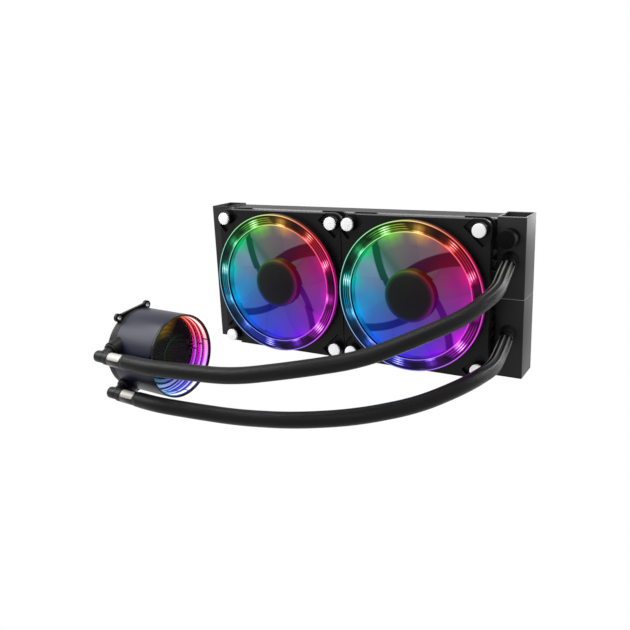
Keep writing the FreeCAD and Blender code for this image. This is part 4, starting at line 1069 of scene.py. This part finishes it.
def fan_frame(side):
    """One fan's frame: plates, duct, ring's channel, motor base, corner posts and struts."""
    corners = [(sx * HOLE, sy * HOLE) for sx in (-1, 1) for sy in (-1, 1)]
    holes = [circle(FAN_SCREW, 24, corner) for corner in corners]
    opening = circle(RING_OUTER - 0.2, 128)
    plate = 14.0
    pieces = [
        slab("upper", [fan_outline(), opening], plate, 17.0, 0.3),
        slab("lower", [rounded_square(8.0), opening] + holes, 10.5, plate, 0.4),
        lathe("duct", ring_outline(51.8, FAN_DUCT, 0.0, RING_SEAT), 128, 0.2),
        lathe("wall", ring_outline(RING_OUTER, 57.0, 11.0, RING_SEAT), 128, 0.2),
        lathe("floor", ring_outline(58.0, 50.5, 11.0, 12.4), 128, 0.1),
        turned("base", HUB, 0.0, 2.5, 64, 0.4),
        lathe("tube", ring_outline(5.0, 3.9, 2.0, 15.0), 32, 0.1),
    ]
    for corner in corners:
        pieces.append(lathe("post", ring_outline(5.6, FAN_SCREW, plate, 19.5), 40, 0.3, corner))
        pieces.append(lathe("column", ring_outline(3.6, FAN_SCREW, 2.5, 11.0), 32, 0.2, corner))
        pieces.append(slab("rear", [rear_corner(corner), circle(FAN_SCREW, 24, corner)], 0.0, 3.0, 0.3))
    pieces += [strut(index) for index in range(4)]
    mesh = merged("fan_frame_" + side + "_look", pieces)
    finish_object(mesh, FAN_PLACE[side], "frame_plastic", ["fan_frame_" + side])


def duct_glow(side):
    """A thin lining of the duct that carries the ring's light."""
    wall = spun("duct_glow_" + side, ring_outline(50.1, 49.85, 3.0, RING_SEAT), 128)
    finish_object(wall, FAN_PLACE[side], "frame_plastic", finishes=[duct_glow_material()])


def light_ring(side):
    """The lit ring in front of the frame, with its two raised edges."""
    profile = [
        (RING_INNER, RING_SEAT), (RING_OUTER, RING_SEAT), (RING_OUTER, 24.7), (58.3, 25.0), (57.6, 25.0),
        (56.8, 24.0), (52.2, 24.0), (51.4, 24.35), (50.6, 24.35), (50.2, 24.0),
        (49.8, 24.5), (49.45, 24.5), (RING_INNER, 24.2),
    ]
    mesh = spun("light_ring_" + side + "_look", profile, 256)
    return finish_object(mesh, FAN_PLACE[side], "ring_mirror", ["light_ring_" + side], smooth=50)


def blade_data(angle):
    """One blade as a thin cambered sheet, swept forward towards its tip."""
    rows, columns = 14, 12
    vertices = []
    for layer in (1, -1):
        for row in range(rows + 1):
            part = row / rows
            radius = BLADE_ROOT + 29.1 * part
            width = 21.0 + 23.0 * part
            depth = 3.6 - 0.8 * part
            lean = math.radians(angle + BLADE_SWEEP * part)
            for column in range(columns + 1):
                across = column / columns * 2 - 1
                turn = lean + across * width / 2 / radius
                camber = across * depth / 2 + 0.5 * (1 - across * across)
                height = 14.0 + 1.8 * part + camber + layer * 0.45
                vertices.append((*polar(radius, turn), height))
    faces = []
    size = (rows + 1) * (columns + 1)
    for row in range(rows):
        for column in range(columns):
            a = row * (columns + 1) + column
            b = a + 1
            c = b + columns + 1
            d = a + columns + 1
            faces.append((a, d, c, b))
            faces.append((a + size, b + size, c + size, d + size))
    for row in range(rows):
        for column in (0, columns):
            a = row * (columns + 1) + column
            d = a + columns + 1
            faces.append((a, a + size, d + size, d))
    for column in range(columns):
        for row in (0, rows):
            a = row * (columns + 1) + column
            faces.append((a, a + 1, a + 1 + size, a + size))
    return vertices, faces


def rotor(side, anchor):
    """The hub's cup and the blades; the anchor holds their colours still while they turn."""
    cup = [
        (19.1, 5.5), (HUB, 5.5), (HUB, 21.9), (20.02, 23.02), (18.9, 23.5), (1.6, 23.5),
        (0.0, 23.5), (0.0, 22.1), (19.1, 22.1),
    ]
    hub = spun("hub", cup, 96)
    sheets = [blade_data(8.0 + 360.0 / BLADES * index) for index in range(BLADES)]
    blades = clean(new_mesh("blades", *join_data(sheets)))
    count = len(hub.polygons)
    mesh = merged("rotor_" + side + "_look", [hub, blades])
    finish_object(
        mesh, FAN_PLACE[side], "blade_clear", ["rotor_" + side], "fan_rotor_" + side,
        [hub_material(anchor), blade_material(anchor)],
    )
    for polygon in mesh.polygons:
        polygon.material_index = 0 if polygon.index < count else 1


def pads():
    """The white pads at the fans' corners."""
    pieces = []
    for side, x in FAN_X.items():
        for sx in (-1, 1):
            for sy in (-1, 1):
                pad = turned("pad", 5.1, 19.5, 21.5, 48, 0.4, (sx * HOLE, sy * HOLE))
                pieces.append(moved(pad, FAN_PLACE[side]))
    mesh = merged("fan_pads_look", pieces)
    finish_object(mesh, ROW_PLACE, "pad_rubber", ["fan_pads"])


for fan_side in FAN_X:
    fan_frame(fan_side)
    duct_glow(fan_side)
    fan_ring = light_ring(fan_side)
    rotor(fan_side, fan_ring)
pads()


# Pump head


def pump_shell():
    """The can round the pump head, a plain turned ring."""
    mesh = lathe("pump_shell_look", ring_outline(PUMP_RADIUS, SHELL_INNER, 7.6, SHELL_TOP), 192, 0.15)
    finish_object(mesh, PUMP_PLACE, "shell_metal", ["pump_shell"])


def pump_face():
    """The bezel, the half-mirror glass, the mirrored wall and floor, and the lit ring behind the glass."""
    rim = ring_outline(PUMP_RADIUS, SHELL_INNER, SHELL_TOP, PUMP_LENGTH)
    bezel = lathe("face_bezel_look", rim, 192, 0.5)
    finish_object(bezel, PUMP_PLACE, "bezel_gloss", ["face_bezel"])
    glass = turned("face_glass_look", 28.85, 44.2, 45.5, 128, 0.2)
    finish_object(glass, PUMP_PLACE, "face_glass", ["face_glass"])
    cup = spun("mirror_wall_look", ring_outline(28.8, 28.25, 28.2, 44.15), 192)
    hidden = ["mirror_cup", "face_light_ring", "face_led_board"]
    finish_object(cup, PUMP_PLACE, "mirror", hidden, finishes=[mirror_wall_material()])
    floor = turned("mirror_floor_look", 28.2, 28.0, 28.8, 128, 0.05)
    finish_object(floor, PUMP_PLACE, "mirror", finishes=[mirror_floor_material()])
    face_arc()


def port_point(name, along):
    """A point on one fitting's line across the pump head."""
    spread = FITTING_SIDES[name]
    cos, sin = math.cos(FITTING_TURN), math.sin(FITTING_TURN)
    return along * cos + spread * sin, along * sin - spread * cos


def port_matrix(name):
    """From a piece turned about its own Z to the line of one fitting."""
    cos, sin = math.cos(FITTING_TURN), math.sin(FITTING_TURN)
    x, y = port_point(name, 0)
    return place((0, 0, 1), (-sin, cos, 0), (cos, sin, 0), (x, y, BOSS_AXIAL))


def glands():
    """The bosses' rounded shoulders and the rings that hold the swivels in them."""
    pieces = []
    for name in FITTING_SIDES:
        gland = lathe("gland", ring_outline(6.3, 4.45, 29.5, 31.0), 64, 0.4)
        pieces.append(moved(gland, port_matrix(name)))
    mesh = merged("swivel_glands_look", pieces)
    finish_object(mesh, PUMP_PLACE, "fitting_black", ["swivel_glands"])


def window_mesh(name, centre):
    """A bright patch with rounded corners, bent round the collar."""
    columns, rows = 20, 12
    low, high = 18.9, 31.0
    vertices = []
    for row in range(rows + 1):
        height = low + 12.1 * row / rows
        near = min(height - low, high - height)
        inset = 1.0 - math.sqrt(max(0.0, 1.0 - (1.0 - min(near, 1.0)) ** 2))
        half = math.radians(35.0) - inset / 4.95
        for column in range(columns + 1):
            turn = math.radians(WINDOW_TURN) + half * (2 * column / columns - 1)
            for radius in (4.8, 5.02):
                vertices.append((*polar(radius, turn, centre), height))
    across = 2 * (columns + 1)
    faces = []
    for row in range(rows):
        for column in range(columns):
            low = row * across + 2 * column
            high = low + across
            faces.append((low + 1, low + 3, high + 3, high + 1))
            faces.append((low, high, high + 2, low + 2))
        for low in (row * across, row * across + 2 * columns):
            faces.append((low, low + 1, low + across + 1, low + across))
    for base in (0, rows * across):
        for column in range(columns):
            low = base + 2 * column
            faces.append((low, low + 2, low + 3, low + 1))
    return clean(new_mesh("collar_window_" + name, vertices, faces))


# The collars' bright satin patches
WINDOW_FINISH = ("collar_window", rgb(160, 158, 152), 0.45, 0.3, 700.0, 0.03)


def fitting(name):
    """An elbow with its knob, and the crimped collar with its bright window."""
    centre = port_point(name, FITTING_REACH)
    body = "fitting_" + name
    knob = turned("knob", 4.15, 3.7, 12.7, 64, 1.2, centre)
    groove = turned("groove", 3.85, 12.2, 13.4, 48, 0.1, centre)
    wide = turned("wide", 4.8, 12.9, 17.9, 64, 0.5, centre)
    spigot = moved(turned("spigot", 4.4, 23.0, 31.3, 48, 0.2), port_matrix(name))
    neck = moved(turned("neck", 4.6, 31.3, FITTING_REACH, 48, 0.3), port_matrix(name))
    barb = turned("barb", 3.2, 17.5, 36.0, 32, 0.3, centre)
    mesh = merged("elbow_" + name + "_look", [knob, groove, wide, spigot, neck, barb])
    finish_object(mesh, PUMP_PLACE, "fitting_black", ["elbow_" + name], body)
    sleeve = [
        (3.3, 17.9), (4.75, 17.9), (4.95, 18.2), (4.95, 31.7), (4.75, 32.2), (3.3, 32.2),
    ]
    collar = spun("collar_" + name + "_look", sleeve, 96, True, centre)
    finish_object(collar, PUMP_PLACE, "collar_metal", ["collar_" + name], body)
    window = window_mesh(name, centre)
    finish_object(window, PUMP_PLACE, "collar_metal", (), body, [grained(*WINDOW_FINISH)])


pump_shell()
pump_face()
glands()
for fitting_name in FITTING_SIDES:
    fitting(fitting_name)


# Radiator


def fins():
    """The folded strips between the flat tubes."""
    front, back = 84.3, 100.6
    folds = 96
    gap = 0.02
    vertices = []
    faces = []
    for row in range(TUBES + 1):
        base = CORE_LOW + row * (ROW_HEIGHT + TUBE)
        for step in range(2 * folds + 1):
            x = CORE_LEFT + (CORE_RIGHT - CORE_LEFT) * step / (2 * folds)
            z = base + gap if step % 2 == 0 else base + ROW_HEIGHT - gap
            for thickness in (-0.06, 0.06):
                inside = min(max(x + thickness, CORE_LEFT), CORE_RIGHT)
                vertices += [(inside, front, z), (inside, back, z)]
        start = row * (2 * folds + 1) * 4
        for step in range(2 * folds):
            a = start + step * 4
            b = a + 4
            faces += [
                (a, b, b + 1, a + 1), (a + 2, a + 3, b + 3, b + 2),
                (a, a + 2, b + 2, b), (a + 1, b + 1, b + 3, a + 3),
            ]
    mesh = new_mesh("fin_strips_look", vertices, faces)
    finish_object(mesh, ROW_PLACE, "core_paint", ["fin_strips"], smooth=0)


def flat_tubes():
    """The flat tubes, their ends 1.4 mm inside the tanks."""
    ends = (CORE_LEFT - 1.4, CORE_RIGHT + 1.4)
    pieces = []
    for row in range(TUBES):
        z0 = CORE_LOW + row * (ROW_HEIGHT + TUBE) + ROW_HEIGHT
        pieces.append(block("tube", *ends, 84.25, 100.65, z0, z0 + TUBE, 0.5))
    mesh = merged("flat_tubes_look", pieces)
    finish_object(mesh, ROW_PLACE, "core_paint", ["flat_tubes"])


def rectangle(x0, x1, y0, y1):
    return [(x0, y0), (x1, y0), (x1, y1), (x0, y1)]


def wall_loops(x0, x1, y0, y1, wall):
    """The outside and the inside of a tank's walls, seen from above."""
    return [
        rounded(rectangle(x0, x1, y0, y1), 0.7),
        rounded(rectangle(x0 + wall, x1 - wall, y0 + wall, y1 - wall), 0.3),
    ]


def tank(name, slot, edge, x0, x1, room, cuts):
    """A tank: walls with softened rims round a tray at each end, cut in two where its joint line runs."""
    loops = wall_loops(x0, x1, RAD_FRONT_Y, RAD_BACK_Y, SHEET)
    pieces = [slab("walls", loops, low, high, 0.3) for low, high in cuts]
    pieces.append(block("room", *room, RAD_FRONT_Y + 0.5, RAD_BACK_Y - 0.5, *TRAY, 0.1))
    mesh = merged(name + "_look", pieces)
    finish_object(mesh, ROW_PLACE, slot, [name])
    # The rim is a slab of its own in the edge finish; the outlet tank's is light grey, a painted highlight
    # along its top edges
    rim = slab(name + "_rim", loops, RIM_LOW, RAD_TOP, 0.25)
    rim.name = name + "_rim"
    finish_object(rim, ROW_PLACE, slot, finishes=[MATERIALS[edge]])


def tanks():
    """Both tanks, and the seam where the outlet tank's halves meet."""
    cuts = [(0.0, 60.3), (60.7, RIM_LOW)]
    tank("port_tank", "tank_paint", "painted_edge_highlight", CORE_RIGHT, RAD_END, (120.5, 139.5), cuts)
    inset = 0.2
    ends = (CORE_RIGHT + inset, RAD_END - inset)
    loops = wall_loops(*ends, RAD_FRONT_Y + inset, RAD_BACK_Y - inset, 1.0)
    # A light grey band in the seam: a painted highlight along the joint line
    seam = slab("port_tank_seam", loops, 60.2, 60.8, 0.05)
    seam.name = "port_tank_seam"
    finish_object(seam, ROW_PLACE, "tank_paint", finishes=[MATERIALS["painted_edge_highlight"]])
    room = (-139.5, -123.5)
    tank("end_tank", "tank_paint", "tank_paint", -RAD_END, CORE_LEFT, room, [(0.0, RIM_LOW)])


def rails():
    """Folded channels with rounded bends, screw holes in their lips and a slot in the upper one's web."""
    holes = [x + dx * HOLE for x in FAN_X.values() for dx in (-1, 1)]
    pieces = []
    bends = []
    back_y = RAD_BACK_Y - SHEET
    for low, high, web, lip, bend in (
        (CORE_LOW, 14.3, CORE_LOW - SHEET, 8.0, CORE_LOW), (106.7, CORE_HIGH, CORE_HIGH, 113.0, CORE_HIGH),
    ):
        for y, radius in ((SEAT_Y, 1.65), (back_y, 2.0)):
            loops = [rectangle(CORE_LEFT, CORE_RIGHT, low, high)]
            loops += [circle(radius, 24, (x, lip)) for x in holes]
            turn = place(*FACING_FRONT, (0, y, 0))
            pieces.append(moved(slab("lip", loops, -SHEET, 0.0, 0.15), turn))
            rod = turned("bend", SHEET, CORE_LEFT, CORE_RIGHT, 24, 0.1)
            middle = y + SHEET if y == SEAT_Y else y
            bends.append(moved(rod, place((0, 1, 0), (0, 0, 1), (1, 0, 0), (0, middle, bend))))
        loops = [rectangle(CORE_LEFT, CORE_RIGHT, SEAT_Y + SHEET, back_y)]
        if web > MID_Z:
            slot = []
            for side, first in ((1, -90), (-1, 90)):
                for step in range(9):
                    turn = math.radians(first + 180 * step / 8)
                    slot.append(polar(0.9, turn, (94.0 + side * 1.6, 98.45)))
            loops.append(slot)
        pieces.append(slab("web", loops, web, web + SHEET, 0.1))
    mesh = merged("side_rails_look", pieces)
    finish_object(mesh, ROW_PLACE, "rail_paint", ["side_rails"])
    # The bends in light grey: a painted highlight along the rails' folded edges
    mesh = merged("rail_bends", bends)
    finish_object(mesh, ROW_PLACE, "rail_paint", finishes=[MATERIALS["painted_edge_highlight"]])


def fill_cap():
    """The service plug: a round knob with a finely fluted side, on its stem."""
    matrix = place(*FACING_FRONT, (PORT_X, RAD_FRONT_Y, 106.6))
    flutes = 20
    steps = 160
    sections = [(1.0, 0.6), (1.5, 0.0), (4.0, 0.0), (12.2, 0.0), (12.8, 0.25), (13.0, 0.9)]
    vertices = []
    for height, inset in sections:
        for step in range(steps):
            turn = 2 * math.pi * step / steps
            flute = max(0.0, math.cos(turn * flutes)) ** 3 * 0.12 if height > 1.5 else 0.0
            radius = 6.8 - inset - flute
            vertices.append((*polar(radius, turn), height))
    knob = new_mesh("knob", vertices, tube_faces(len(sections), steps))
    stem = turned("stem", 3.5, -4.0, 1.2, 32, 0.1)
    mesh = merged("fill_cap_look", [knob, stem])
    finish_object(mesh, matrix, "cap_plastic", ["fill_cap"], smooth=30)


fins()
flat_tubes()
tanks()
rails()
fill_cap()


# Camera and light


def camera():
    """The camera fitted to the photograph; its place is in metres."""
    data = bpy.data.cameras.new("camera")
    data.sensor_width = 36
    data.lens = 39.76
    data.shift_x = -0.0022
    data.shift_y = -0.0296
    data.clip_start = 0.05
    data.clip_end = 20
    obj = new_object("camera", data)
    right = Vector((0.862, 0.506, -0.041)).normalized()
    down = Vector((0.094, -0.237, -0.967)).normalized()
    back = right.cross(-down).normalized()
    up = back.cross(right).normalized()
    obj.matrix_world = place(right, up, back, (261.0255, -491.8761 + RAD_FRONT_Y, 196.2362))
    bpy.context.scene.camera = obj


def lamp(name, spot, target, size, power):
    """A soft lamp with a rectangular face, turned to its target and unseen by the camera."""
    data = bpy.data.lights.new(name, "AREA")
    data.shape = "RECTANGLE"
    data.size, data.size_y = size
    data.energy = power
    obj = new_object(name, data)
    obj.location = spot
    obj.rotation_euler = (Vector(target) - Vector(spot)).to_track_quat("-Z", "Y").to_euler()
    obj.visible_camera = False


def backdrop_material():
    """White where it is looked at, and a plain pale floor for the light."""
    s = Shader("studio_floor")
    white = s.coloured("ShaderNodeEmission", WHITE)
    plain = s.surface(Base_Color=(0.8, 0.8, 0.8, 1.0), Roughness=0.9)
    return s.done(s.blend(s.looking(), plain, white.outputs[0]))


def world_light():
    """White where it is looked at, and a dim even light for the rest."""
    s = Shader("studio", world=True)
    seen = s.coloured("ShaderNodeBackground", WHITE)
    lit = s.coloured("ShaderNodeBackground", (0.13, 0.132, 0.138, 1))
    return s.done(s.blend(s.looking(), lit.outputs[0], seen.outputs[0]))


def studio():
    """The floor, the world and five soft lamps."""
    floor = bpy.data.meshes.new("studio_floor")
    floor.from_pydata([(-3, -3, 0), (3, -3, 0), (3, 3, 0), (-3, 3, 0)], [], [(0, 1, 2, 3)])
    floor.materials.append(backdrop_material())
    obj = new_object("studio_floor", floor)
    obj.location.z = -0.0005
    bpy.context.scene.world = world_light()
    lamp("key", (-0.95, -0.5, 0.75), (-0.05, 0, 0.05), (0.7, 0.5), 6.5)
    lamp("strip", (-0.55, -0.3, 0.9), (0.0, -0.05, 0.03), (0.5, 0.15), 6.5)
    lamp("fill", (0.3, -0.75, 0.85), (0.05, 0, 0.1), (0.5, 0.3), 2.2)
    lamp("top", (0.1, 0.1, 1.1), (0, 0, 0.05), (0.4, 0.25), 5.0)
    lamp("right_back", (0.5, 1.2, 0.3), (0.14, 0.1, 0.06), (1.0, 0.7), 8.0)
    bpy.context.scene.view_settings.view_transform = "Standard"


camera()
studio()
